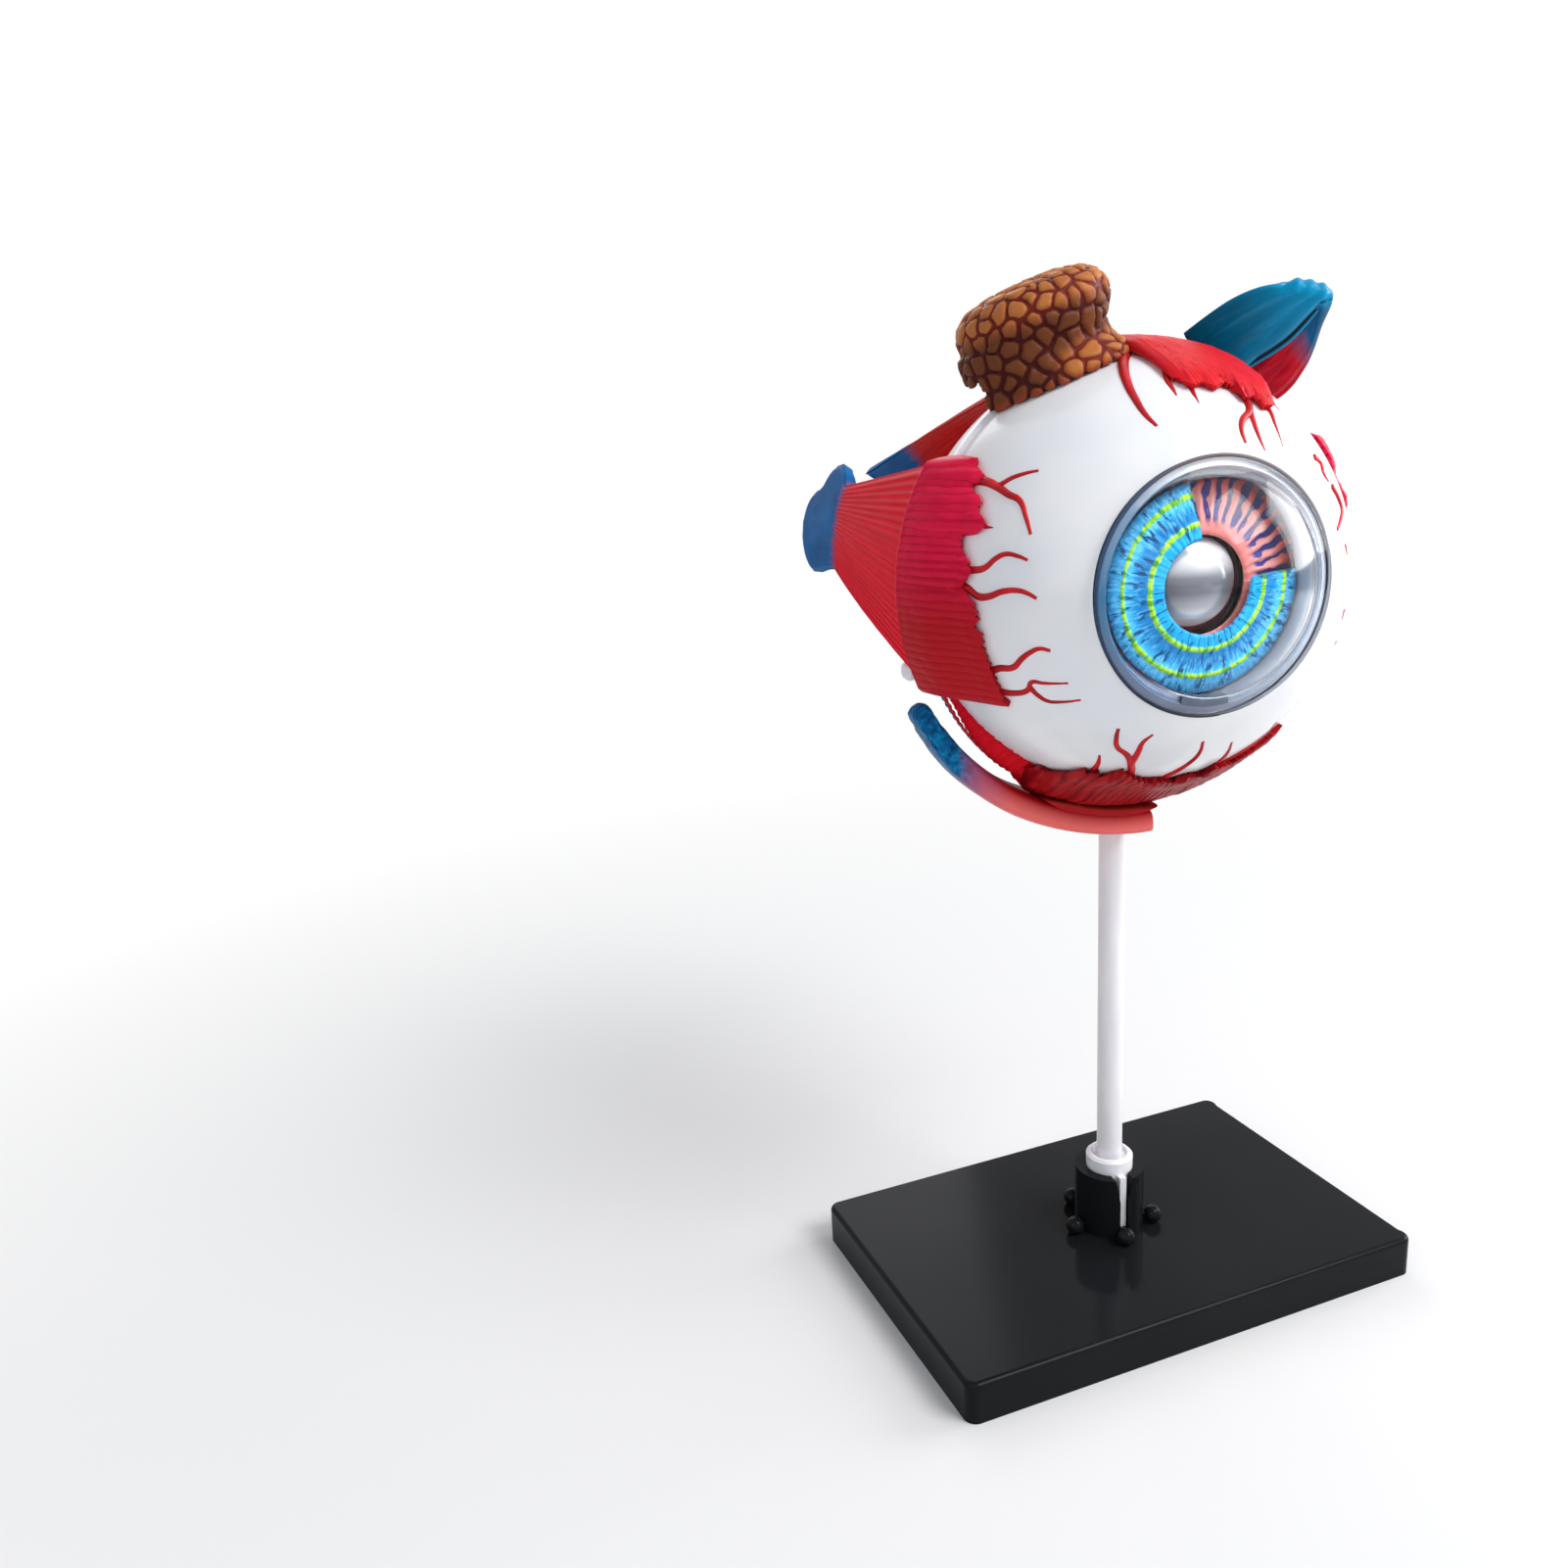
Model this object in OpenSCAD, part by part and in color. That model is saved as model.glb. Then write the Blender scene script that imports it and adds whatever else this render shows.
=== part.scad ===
// Take-apart anatomy model of a right human eye on a rod and a black base.
// Z is up and the origin is the middle of the base's underside, on the rod's axis.
// Inside eye_place() the origin is the middle of the eyeball: -Y is where the eye
// looks, +Y is towards the back of the head, +X is the nose side, +Z is up.

/* [Stand] */
// Length of the base plate, side to side
base_w = 80; // [60:1:120]
// Depth of the base plate, front to back
base_d = 50; // [40:1:90]
// Thickness of the base plate
base_h = 6.5; // [5.5:0.5:10]
// Radius of the base plate's corners
base_corner = 1.8; // [1.8:0.2:6]
// Diameter of the rod
rod_d = 4; // [3.6:0.2:6]
// Height of the rod's shoulder, where the eye stands on it
rod_top = 75.2; // [60:0.2:110]

/* [Eyeball] */
// Outer diameter of the eyeball
eye_d = 60; // [54:1:66]
// Wall of the white outer shells
sclera_wall = 1.6; // [1.2:0.1:2]
// Wall of the two thin inner shells
layer_wall = 1.2; // [0.8:0.1:1.4]
// Gap between nested shells
shell_gap = 0.3; // [0.2:0.05:0.5]
// How far the eyeball's middle sits in front of the rod
eye_lead = 2.5; // [1.5:0.1:3.5]
// How far the eye is turned on the rod, towards its temple side
eye_turn = 7.2; // [0:0.1:20]

/* [Front of the eye] */
// Diameter of the round opening that the cornea plugs into
opening_d = 32.4; // [30:0.2:34]
// Height of the cornea's dome above the eyeball's middle
cornea_reach = 33; // [31:0.2:36]
// Diameter of the iris
iris_d = 27.2; // [26:0.2:28.4]
// Diameter of the pupil
pupil_d = 12; // [9:0.2:14]
// Where the cut-away part of the iris starts, anticlockwise from the nose side
cut_start = 5; // [0:5:30]
// Angle of the cut-away part of the iris
cut_angle = 95; // [60:5:120]
// Diameter of the lens
lens_d = 17.6; // [14:0.2:18]
// Number of folds on the ciliary body
fold_count = 40; // [24:4:60]

/* [Muscles] */
// Thickness of the straight muscles
muscle_t = 2; // [1.6:0.1:2.4]
// Length of a straight muscle behind the seam
muscle_len = 72.5; // [60:0.5:80]
// How far each straight muscle stands off the eyeball's middle, on its inner face
muscle_in = 31.2; // [31.2:0.1:31.8]
// Thickness of the upper muscle, which is the thinnest
upper_t = 1; // [1:0.1:2]
// Inward slope of the side muscles
side_slope = 4.1; // [2:0.1:8]
// Inward slope of the upper and lower muscles
upper_slope = 14.1; // [8:0.1:16]
// Turn of the upper muscle towards the temple
upper_turn = 6; // [0:0.5:8]
// Reach of the red insertions in front of the seam
insertion_reach = 12.2; // [8:0.2:14]
// Thickness of the strap under the eye
strap_t = 3.9; // [3.6:0.1:5]
// Width of the strap at the rod
strap_w = 15; // [12:0.5:16]

/* [Gland] */
// Diameter of the tear gland's brim
gland_d = 22; // [20:0.5:25]
// Height of the tear gland's top above the eyeball's middle
gland_reach = 42.2; // [41:0.2:46]
// Tilt of the gland from straight up, towards the temple
gland_tilt = 19.5; // [18:0.5:24]

/* [Hidden] */
$fn = 96;

eye_r = eye_d / 2;
opening_r = opening_d / 2;
eye_h = rod_top + 38.1;                  // height of the eyeball's middle
far = 120;                               // longer than anything it cuts
nothing = 0.01;

// stand
edge_r = 0.8;                            // rounding of the base's top edge
pocket_deep = 3;
pocket_wall = 2.6;
rib_w = 4;
boss_r = 8;
plug_r = 4.4;
plug_floor = 2;
socket_r = 5.5;
socket_top = base_h + 10.5;
collar_r = 3.7;
socket_bore = collar_r + 0.15;
slot_w = 1.5;
knob_count = 5;
knob_r = 1.45;
knob_out = 7;
knob_first = 42;
collar_top = socket_top + 1.9;
collar_groove = 0.3;
spigot_r = 1.5;
spigot_len = 4;
spigot_bore = spigot_r + 0.07;

// shells, from the outside in
sclera_in = eye_r - sclera_wall;
choroid_out = sclera_in - shell_gap;
choroid_in = choroid_out - layer_wall;
retina_out = choroid_in - shell_gap;
retina_in = retina_out - layer_wall;
vitreous_r = retina_in - shell_gap;
lip_deep = 1.5;
lip_r = eye_r - sclera_wall / 2;
flange_r = eye_r + 0.6;
flange_w = 1.2;

// how far the opening, and all that sits in it, lies off the eyeball's middle
pupil_x = -0.9;
pupil_z = 0.6;

// parts behind the cornea, as distances in front of the eyeball's middle
opening_front = sqrt(eye_r * eye_r - opening_r * opening_r);
collar_wall = 1.4;
seat_back = 16;
seat_front = 16.9;
lens_r = lens_d / 2;
lens_back_r = 11;
lens_front_r = 8.6;
lens_rim = 0.6;
ciliary_back = seat_front + lens_rim + 0.4;
ciliary_edge = 20.4;
ciliary_rise = 2;
ciliary_hole = pupil_d / 2 + 0.3;
iris_t = 0.8;
iris_rise = 1.7;
plug_fit = opening_r - shell_gap;        // outer radius of what plugs in there
dome_r = 18.5;
dome_wall = 1.2;

// straight muscles: half widths along and across, from the seam to the tip
seam_gap = 0.3;
wide_up = 17;
wide_down = 13.6;
neck_up = 12.4;
neck_down = -1.4;
neck_at = 46;
pin_r = 1.1;
pin_hole = 1.35;
pin_at = 8;
pin_off = 8;
post_r = 1.6;
post_at = 12;
post_off = 13.2;
post_top = 28.6;
notch_w = 13;
notch_d = 4;
muscle_out = muscle_in + muscle_t;
upper_in = muscle_in - 0.2;                // the upper muscle sits closer
upper_lip = 0.2;                         // the upper insertion's rise over muscle_in
ridge_t = 0.5;
ridge_w = 1.4;

// strap under the eye, as angles round the gaze axis from the nose side
strap_in = muscle_out + ridge_t + 0.3;
strap_out = strap_in + strap_t;
strap_start = -152.5;
strap_end = -82.5;
saddle_start = -106;
block_w = notch_w - 0.6;
block_d = 3.4;

gland_lean = -4;                         // turns the gland a little to the rear
foot_x = 11.6;                           // where the upper oblique stands on its muscle
foot_y = 4;
nerve_x = 4;
nerve_r = 4.2;
nerve_len = 27;

// --- places -----------------------------------------------------------------

module eye_place() {
    translate([0, 0, eye_h])
        rotate([0, 0, -eye_turn])
            translate([0, -eye_lead, 0])
                children();
}

// turns a shape made along +Z so that it looks forwards, along -Y
module gaze() { rotate([90, 0, 0]) children(); }

// the same, on the axis of the opening, the lens and the pupil
module pupil_axis() { gaze() translate([pupil_x, pupil_z, 0]) children(); }

// the rod's axis, seen from the middle of the eyeball
module over_rod() { translate([0, eye_lead, 0]) children(); }

// a muscle drawn on top of the eye, moved to its own side
module at_side(side) {
    if (side == "superior") children();
    if (side == "inferior") mirror([0, 0, 1]) children();
    if (side == "lateral") mirror([0, 0, 1]) rotate([0, -90, 0]) children();
    if (side == "medial") mirror([1, 0, 0]) mirror([0, 0, 1]) rotate([0, -90, 0]) children();
}

module rear_half(from) { translate([-far / 2, from, -far / 2]) cube([far, far, far]); }

module tube_y(outer, inner, from, to) {
    translate([0, from, 0]) rotate([-90, 0, 0]) difference() {
        cylinder(r = outer, h = to - from);
        translate([0, 0, -1]) cylinder(r = inner, h = to - from + 2);
    }
}

// --- stand ------------------------------------------------------------------

module rounded_plan(w, d, r) {
    square([w - 2 * r, d], center = true);
    square([w, d - 2 * r], center = true);
    for (x = [-1, 1], y = [-1, 1])
        translate([x * (w / 2 - r), y * (d / 2 - r)]) circle(r = r);
}

module corner_bead(x, y) {
    translate([x * (base_w / 2 - base_corner), y * (base_d / 2 - base_corner), base_h - edge_r])
        rotate_extrude() translate([base_corner - edge_r, 0]) circle(r = edge_r, $fn = 32);
}

module edge_bead(len, offset_y, turn) {
    rotate([0, 0, turn]) translate([-len / 2, offset_y, base_h - edge_r])
        rotate([0, 90, 0]) cylinder(r = edge_r, h = len, $fn = 32);
}

module base_plate() color([0.06, 0.06, 0.07]) difference() {
    union() {
        linear_extrude(base_h - edge_r) rounded_plan(base_w, base_d, base_corner);
        linear_extrude(base_h)
            rounded_plan(base_w - 2 * edge_r, base_d - 2 * edge_r, base_corner - edge_r);
        for (x = [-1, 1], y = [-1, 1]) corner_bead(x, y);
        for (s = [-1, 1]) {
            edge_bead(base_w - 2 * base_corner, s * (base_d / 2 - edge_r), 0);
            edge_bead(base_d - 2 * base_corner, s * (base_w / 2 - edge_r), 90);
        }
    }
    for (x = [0, 1], y = [0, 1]) mirror([x, 0, 0]) mirror([0, y, 0]) base_pocket();
    translate([0, 0, plug_floor]) cylinder(r = plug_r + 0.1, h = base_h);
}

module base_pocket() {
    w = base_w / 2 - pocket_wall - rib_w / 2;
    d = base_d / 2 - pocket_wall - rib_w / 2;
    difference() {
        translate([rib_w / 2, rib_w / 2, -1]) cube([w, d, pocket_deep + 1]);
        translate([0, 0, -2]) cylinder(r = boss_r, h = pocket_deep + 3);
    }
}

module rod_socket() color([0.05, 0.05, 0.06]) difference() {
    union() {
        translate([0, 0, plug_floor]) cylinder(r = plug_r, h = base_h - plug_floor);
        translate([0, 0, base_h]) cylinder(r = socket_r, h = socket_top - base_h);
        for (i = [0 : knob_count - 1]) socket_knob(knob_first + i * 360 / knob_count);
    }
    translate([0, 0, base_h + 1.5]) cylinder(r = socket_bore, h = far);
    for (turn = [0, 180]) rotate([0, 0, turn - eye_turn]) socket_slot();
}

module socket_knob(turn) {
    rotate([0, 0, turn]) {
        translate([knob_out, 0, base_h + knob_r - 0.1]) sphere(r = knob_r, $fn = 32);
        translate([socket_r - 1, -0.6, base_h]) cube([knob_out - socket_r + 1, 1.2, 1.8]);
    }
}

// a slot in the socket's wall that opens into a V at the top
module socket_slot() {
    rotate([90, 0, 0]) linear_extrude(socket_r + 1) polygon([
        [-slot_w / 2, base_h + 1.5], [slot_w / 2, base_h + 1.5],
        [slot_w / 2, socket_top - 4], [1.7, socket_top + 1],
        [-1.7, socket_top + 1], [-slot_w / 2, socket_top - 4]]);
}

module support_rod() color([0.93, 0.92, 0.95]) {
    foot = base_h + 1.7;
    difference() {
        union() {
            translate([0, 0, foot]) cylinder(r = collar_r, h = collar_top - foot);
            translate([0, 0, collar_top]) cylinder(r1 = collar_r, r2 = collar_r - 0.4, h = 0.4);
        }
        translate([0, 0, collar_top - collar_groove]) cylinder(r = collar_r - 0.8, h = 2);
    }
    for (turn = [0, 180]) rotate([0, 0, turn - eye_turn])
        translate([-0.55, -socket_r + 0.7, foot]) cube([1.1, socket_r - 0.7, socket_top - foot]);
    translate([0, 0, foot]) cylinder(r = rod_d / 2, h = rod_top - foot);
    translate([0, 0, rod_top - nothing]) cylinder(r = spigot_r, h = spigot_len);
}

// --- strap and lower muscle --------------------------------------------------

// outline of the strap seen from above: broad over the rod, narrow at its far end
module strap_plan() {
    polygon([
        [6, 2.5 - strap_w / 2], [-2, 2 - strap_w / 2], [-10, -4.2], [-20, -3], [-28, -2.4], [-36, -2],
        [-36, 2.6], [-28, 3.8], [-20, 5.6], [-10, 8.4], [-2, 2.5 + strap_w / 2],
        [6, 2.5 + strap_w / 2]]);
}

module inferior_oblique() color([0.9, 0.4, 0.37]) eye_place() difference() {
    union() {
        intersection() {
            rotate([90, 0, 0]) rotate_extrude(angle = strap_end - strap_start, start = strap_start)
                translate([strap_in, -14]) square([strap_t, 28]);
            translate([0, 0, -far / 2]) linear_extrude(far) strap_plan();
        }
        strap_saddle();
        over_rod() translate([0, 0, -strap_out - 0.2]) cylinder(r = 4.6, h = strap_t);
        over_rod() translate([-block_w / 2, -block_d / 2, -strap_in - 1])
            cube([block_w, block_d, strap_in + 1 - sclera_in - 0.3]);
    }
    over_rod() translate([0, 0, -strap_out - 1]) cylinder(r = spigot_bore, h = spigot_len + 1);
}

// raised pad in front of the seam that the front shell's insertion rests over
module strap_saddle() {
    intersection() {
        rotate([90, 0, 0]) rotate_extrude(angle = strap_end - saddle_start, start = saddle_start)
            translate([strap_in - 0.55, -0.1]) square([1, 5]);
        translate([0, 0, -far / 2]) linear_extrude(far) strap_plan();
    }
}

module inferior_rectus() color([0.86, 0.07, 0.13]) eye_place() difference() {
    at_side("inferior") {
        straight_muscle(upper_slope);
        seam_ridge();
    }
    translate([-notch_w / 2, 0, -far]) cube([notch_w, seam_gap + notch_d, far]);
}

// --- straight muscles ---------------------------------------------------------

// plan of a straight muscle: x across, y towards the rear
module muscle_plan() {
    polygon([
        [-wide_up, 0], [-neck_up, neck_at - 1], [neck_down * -1, neck_at + 1], [wide_down, 0]]);
    tendon_plan();
}

// the blue end: a round-nosed pad with an ear on one side
module tendon_plan() {
    nose = 7.3;
    polygon([
        [-neck_up, neck_at - 1], [-14.4, neck_at + 3], [-15.8, neck_at + 7], [-15.2, neck_at + 12],
        [-12.6, neck_at + 14.6], [-10.6, muscle_len - 8], [-3.6, muscle_len - 1],
        [2.4, muscle_len - 8], [3, neck_at + 11], [1.8, neck_at + 4], [1.4, neck_at]]);
    translate([-3.6, muscle_len - nose]) circle(r = nose);
}

module straight_muscle(slope, thick = muscle_t, inner = muscle_in, turn = 0) {
    intersection() {
        translate([0, seam_gap, inner]) rotate([0, 0, turn]) rotate([-slope, 0, 0])
            translate([0, -seam_gap, -inner]) intersection() {
                tube_y(inner + thick, inner, -8, muscle_len + 8);
                linear_extrude(far) union() {
                    muscle_plan();
                    translate([-wide_up, -8]) square([wide_up + wide_down, 8 + nothing]);
                }
            }
        rear_half(seam_gap);
    }
}

// raised line along the seam end of a muscle
module seam_ridge() {
    intersection() {
        tube_y(muscle_out + ridge_t, muscle_in + 0.6, seam_gap, seam_gap + ridge_w);
        translate([-wide_up + 0.2, -1, 10]) cube([wide_up + wide_down - 0.4, 10, far]);
    }
}

module muscle_pins(top = muscle_in - 0.6) {
    for (s = [-1, 1]) translate([s * pin_off, pin_at, sclera_in - 1.6])
        cylinder(r = pin_r, h = top - sclera_in + 1.6);
}

module muscle_pin_holes() {
    for (s = [-1, 1]) translate([s * pin_off, pin_at, sclera_in - 6])
        cylinder(r = pin_hole, h = 12);
}

module locating_post() {
    translate([post_off, post_at, 0]) {
        translate([0, 0, 17]) cylinder(r = post_r, h = post_top - 17);
        translate([0, 0, post_top]) cylinder(r1 = post_r, r2 = post_r - 0.6, h = 0.7);
    }
}

module lateral_rectus() color([0.86, 0.05, 0.12]) eye_place() at_side("lateral") {
    straight_muscle(side_slope);
    seam_ridge();
    muscle_pins();
}

module medial_rectus() color([0.84, 0.07, 0.14]) eye_place() at_side("medial") {
    straight_muscle(side_slope);
    seam_ridge();
    muscle_pins();
}

module superior_rectus() color([0.85, 0.08, 0.12]) eye_place() difference() {
    union() {
        difference() {
            straight_muscle(upper_slope, upper_t, upper_in, upper_turn);
            tube_y(flange_r + 0.15, 1, -0.2, flange_w + 0.15);
        }
        muscle_pins(sclera_in + 0.2);
    }
    translate([foot_x, foot_y, 20]) cylinder(r = 1.05, h = 20);
}

// --- insertions on the front shell --------------------------------------------

// relief that stands up to the muscle's face at the seam and runs out forwards
module insertion_body(thick) {
    top = muscle_in + thick;
    difference() {
        gaze() rotate_extrude() polygon([
            [eye_r - 4, 0], [top, 0], [top - 0.5 * thick, 3.6], [top - 0.75 * thick - 1, 8],
            [29.2, 10.4],
            [sqrt(eye_r * eye_r - insertion_reach * insertion_reach), insertion_reach],
            [eye_r - 6, insertion_reach]]);
        sphere(r = eye_r);
    }
}

module insertion(side, thick = muscle_t) {
    at_side(side) intersection() {
        insertion_body(thick);
        linear_extrude(far) children();
    }
}

// ragged front edge of a side insertion: x across, y forwards negative
module side_edge() {
    polygon([
        [-wide_up, 0], [-17.2, -8], [-14.6, -9.6], [-13, -8.8], [-10.5, -12.4], [-8, -11],
        [-4, -11.3], [-3, -9], [-1.4, -6.4], [-0.3, -10.4], [4, -11.5], [9.5, -12],
        [12, -11.4], [wide_down, 0]]);
}

module upper_edge() {
    polygon([
        [-1.6, 0], [-1.2, -9.4], [0.6, -11.6], [2.4, -8.6], [5, -9.4], [6, -11.8], [8, -9.6],
        [10, -11.8], [12, -12.2], [13.4, -9.6], [14.4, -5], [14.8, 0]]);
}

module lower_edge() {
    polygon([
        [-15.6, 0], [-13.6, -6], [-12, -9.4], [-10.4, -12.2], [-8, -9.8], [-5.6, -10.6],
        [-3.6, -12.2], [-1.6, -10], [2, -10.6], [6, -9.6], [9, -11.8], [12.6, -9], [16, 0]]);
}

module lateral_insertion() color([0.72, 0.07, 0.12]) eye_place() insertion("lateral") side_edge();
module medial_insertion() color([0.72, 0.07, 0.12]) eye_place() insertion("medial") side_edge();
module superior_insertion() color([0.8, 0.12, 0.1]) eye_place() insertion("superior", upper_lip) upper_edge();
module inferior_insertion() color([0.68, 0.08, 0.1]) eye_place() insertion("inferior") lower_edge();

// --- white shells ---------------------------------------------------------------

// the part of a hollow ball that lies behind a plane, open to the front
module bowl(outer, inner, from) {
    rotate([-90, 0, 0]) difference() {
        sphere(r = outer);
        sphere(r = inner);
        translate([0, 0, from - far]) cylinder(r = outer + 1, h = far);
    }
}

module sclera_rear() color([0.93, 0.94, 0.96]) eye_place() difference() {
    union() {
        bowl(eye_r, sclera_in, 0);
        tube_y(lip_r - 0.05, sclera_in, -lip_deep, 0.3);
        tube_y(flange_r, eye_r - 0.8, 0, flange_w);
        translate([nerve_x, 0, 0]) tube_y(nerve_r + 1.2, 3.2, 28.6, 31);
        for (side = ["lateral", "medial"]) at_side(side) locating_post();
    }
    for (side = ["lateral", "medial", "superior"]) at_side(side) muscle_pin_holes();
    over_rod() translate([-notch_w / 2, -notch_d / 2, -far]) cube([notch_w, notch_d, far]);
    translate([nerve_x, 0, 0]) rotate([-90, 0, 0]) cylinder(r = 3.2, h = far);
    sphere(r = sclera_in);
}

module sclera_front() color([0.95, 0.95, 0.97]) eye_place() difference() {
    union() {
        mirror([0, 1, 0]) bowl(eye_r, sclera_in, 0);
        intersection() {
            sphere(r = eye_r - 0.3);
            pupil_axis() translate([0, 0, seat_back]) cylinder(r = opening_r + collar_wall, h = 20);
        }
    }
    tube_y(lip_r + 0.05, sclera_in - 1, -lip_deep - 0.1, 1);
    pupil_axis() translate([0, 0, seat_front]) cylinder(r = opening_r, h = 20);
    pupil_axis() cylinder(r = lens_r - 1.2, h = far);
    gland_socket();
}

// a blind hole that takes the gland's peg
module gland_socket() {
    gland_frame() translate([0, -6, 28.9]) cylinder(r = 1.35, h = 4);
}

// --- layers and clear body -------------------------------------------------------

module choroid() color([0.45, 0.12, 0.1]) eye_place() bowl(choroid_out, choroid_in, shell_gap);
module retina() color([0.93, 0.62, 0.48]) eye_place() bowl(retina_out, retina_in, shell_gap);

module vitreous_body() color([0.85, 0.92, 0.97, 0.6]) eye_place() difference() {
    sphere(r = vitreous_r);
    gaze() translate([0, 0, seat_back - shell_gap]) cylinder(r = vitreous_r + 1, h = 20);
    pupil_axis() translate([0, 0, lens_back_mid()]) sphere(r = lens_back_r + 0.4);
}

// middle of the ball that the lens's rear face belongs to
function lens_back_mid() = seat_front + 0.1 + sqrt(pow(lens_back_r, 2) - pow(lens_r - 0.8, 2));
function lens_front_mid() =
    seat_front + 0.1 + lens_rim - sqrt(pow(lens_front_r, 2) - pow(lens_r - 0.8, 2));

module lens() color([0.75, 0.78, 0.8]) eye_place() pupil_axis() {
    translate([0, 0, seat_front + 0.1]) cylinder(r = lens_r, h = lens_rim);
    intersection() {
        translate([0, 0, lens_back_mid()]) sphere(r = lens_back_r);
        cylinder(r = lens_r - 1.6, h = seat_front + 0.2);
    }
    intersection() {
        translate([0, 0, lens_front_mid()]) sphere(r = lens_front_r);
        translate([0, 0, seat_front + 0.2]) cylinder(r = lens_r - 0.8, h = 6);
    }
}

// --- ciliary body, iris and cornea -------------------------------------------------

module ciliary_body() color([0.9, 0.5, 0.47]) eye_place() pupil_axis() {
    rotate_extrude() polygon([
        [lens_r + 0.4, ciliary_back], [plug_fit, ciliary_back], [plug_fit, ciliary_edge],
        [ciliary_hole, ciliary_edge + ciliary_rise],
        [ciliary_hole, ciliary_edge + ciliary_rise - 0.9], [lens_r + 0.4, ciliary_edge - 0.2]]);
    for (i = [0 : fold_count - 1]) rotate([0, 0, i * 360 / fold_count]) ciliary_fold();
}

// one fold: a thin fin that lies along the cone, from the edge to the pupil
module ciliary_fold() {
    fin = 0.5;
    run = plug_fit - ciliary_hole;
    rotate([90, 0, 0]) translate([0, 0, -fin / 2]) linear_extrude(fin) polygon([
        [plug_fit - 0.3, ciliary_edge - 0.4], [plug_fit - 2.3, ciliary_edge + 0.6],
        [ciliary_hole + 1.4, ciliary_edge + ciliary_rise * (run - 1.4) / run + 0.22],
        [ciliary_hole + 0.4, ciliary_edge + ciliary_rise - 0.4]]);
}

// outer edge of the iris is thin and flat, its middle rises to the pupil
function iris_height(r) = ciliary_edge + 0.75
    + iris_rise * (1 - pow((r - pupil_d / 2) / (iris_d / 2 - pupil_d / 2), 1.4));

module iris() color([0.12, 0.55, 0.8]) eye_place() pupil_axis()
    rotate([0, 0, cut_start + cut_angle]) rotate_extrude(angle = 360 - cut_angle) {
        steps = 8;
        run = iris_d / 2 - pupil_d / 2;
        low = [for (i = [0 : steps]) let (r = pupil_d / 2 + run * i / steps) [r, iris_height(r) + 0.35]];
        high = [for (i = [steps : -1 : 0]) let (r = pupil_d / 2 + run * i / steps)
            [r, iris_height(r) + 0.35 + iris_t]];
        polygon(concat(low, high));
    }

module cornea() color([0.8, 0.88, 0.92, 0.5]) eye_place() pupil_axis() {
    dome_mid = cornea_reach - dome_r;
    skirt_in = iris_d / 2 + 0.25;
    skirt_back = ciliary_edge + 0.7;
    difference() {
        union() {
            intersection() {
                translate([0, 0, dome_mid]) sphere(r = dome_r);
                translate([0, 0, opening_front - 0.6]) cylinder(r = plug_fit, h = 20);
            }
            translate([0, 0, skirt_back])
                cylinder(r = plug_fit, h = opening_front - skirt_back);
            translate([0, 0, opening_front])
                rotate_extrude() translate([plug_fit - 0.9, 0]) circle(r = 0.9, $fn = 32);
        }
        translate([0, 0, skirt_back - 1]) cylinder(r = skirt_in, h = opening_front - skirt_back + 0.4);
        translate([0, 0, dome_mid]) intersection() {
            sphere(r = dome_r - dome_wall);
            translate([0, 0, opening_front - dome_mid - 1]) cylinder(r = skirt_in, h = 20);
        }
    }
}

// --- upper oblique muscle, optic nerve, gland ----------------------------------------

module blob(place, r) { translate(place) sphere(r = r, $fn = 20); }

// one stretch of the upper oblique: from one pair of balls to the next
module oblique_run(from, to) {
    hull() for (row = [from, to], s = [-1, 1]) blob(row[0] + s * row[1], row[2]);
}

oblique_rows = [
    // middle, half way across, radius of the balls
    [[14.5, 3.4, 28.85], [3.8, 0, -2.2], 1],
    [[18.6, -3.2, 33], [3.4, 0.2, -2.2], 1.3],
    [[22, -8, 36.3], [2.2, -0.2, -0.4], 1.5],
    [[25.2, -5.6, 33.8], [0.9, 0.6, -0.9], 1.2],
    [[25.6, -0.6, 29], [1.2, 0.5, -1.2], 1.2],
    [[24.2, 5, 25], [1.2, 0.3, -1.2], 1.3],
    [[21.5, 20, 21.8], [1.5, 0, -1.5], 1.9],
    [[16, 63, 15.4], [1, 0, -1], 1.5]];

module superior_oblique() color([0.05, 0.45, 0.66]) eye_place() {
    for (i = [0 : len(oblique_rows) - 2]) oblique_run(oblique_rows[i], oblique_rows[i + 1]);
    translate([foot_x, foot_y, 28.2]) cylinder(r = 0.85, h = 2.8);
}

module optic_nerve_sheath() color([0.93, 0.86, 0.62]) eye_place() translate([nerve_x, 0, 0]) {
    tube_y(3, 2.3, sclera_in + 0.2, 31.3);
    tube_y(nerve_r, 2.3, 31.3, 31.3 + nerve_len - 4);
}

module optic_nerve() color([0.95, 0.78, 0.35]) eye_place() translate([nerve_x, 0, 0])
    tube_y(2.2, 0.95, sclera_in + 0.2, 31.3 + nerve_len);

module central_vessels() color([0.75, 0.08, 0.12]) eye_place()
    for (s = [-1, 1]) translate([nerve_x + s * 0.42, sclera_in + 0.2, 0])
        rotate([-90, 0, 0]) cylinder(r = 0.4, h = 31.3 + nerve_len + 1.6 - sclera_in, $fn = 24);

module gland_frame() { rotate([0, -gland_tilt, 0]) rotate([gland_lean, 0, 0]) children(); }

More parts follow.
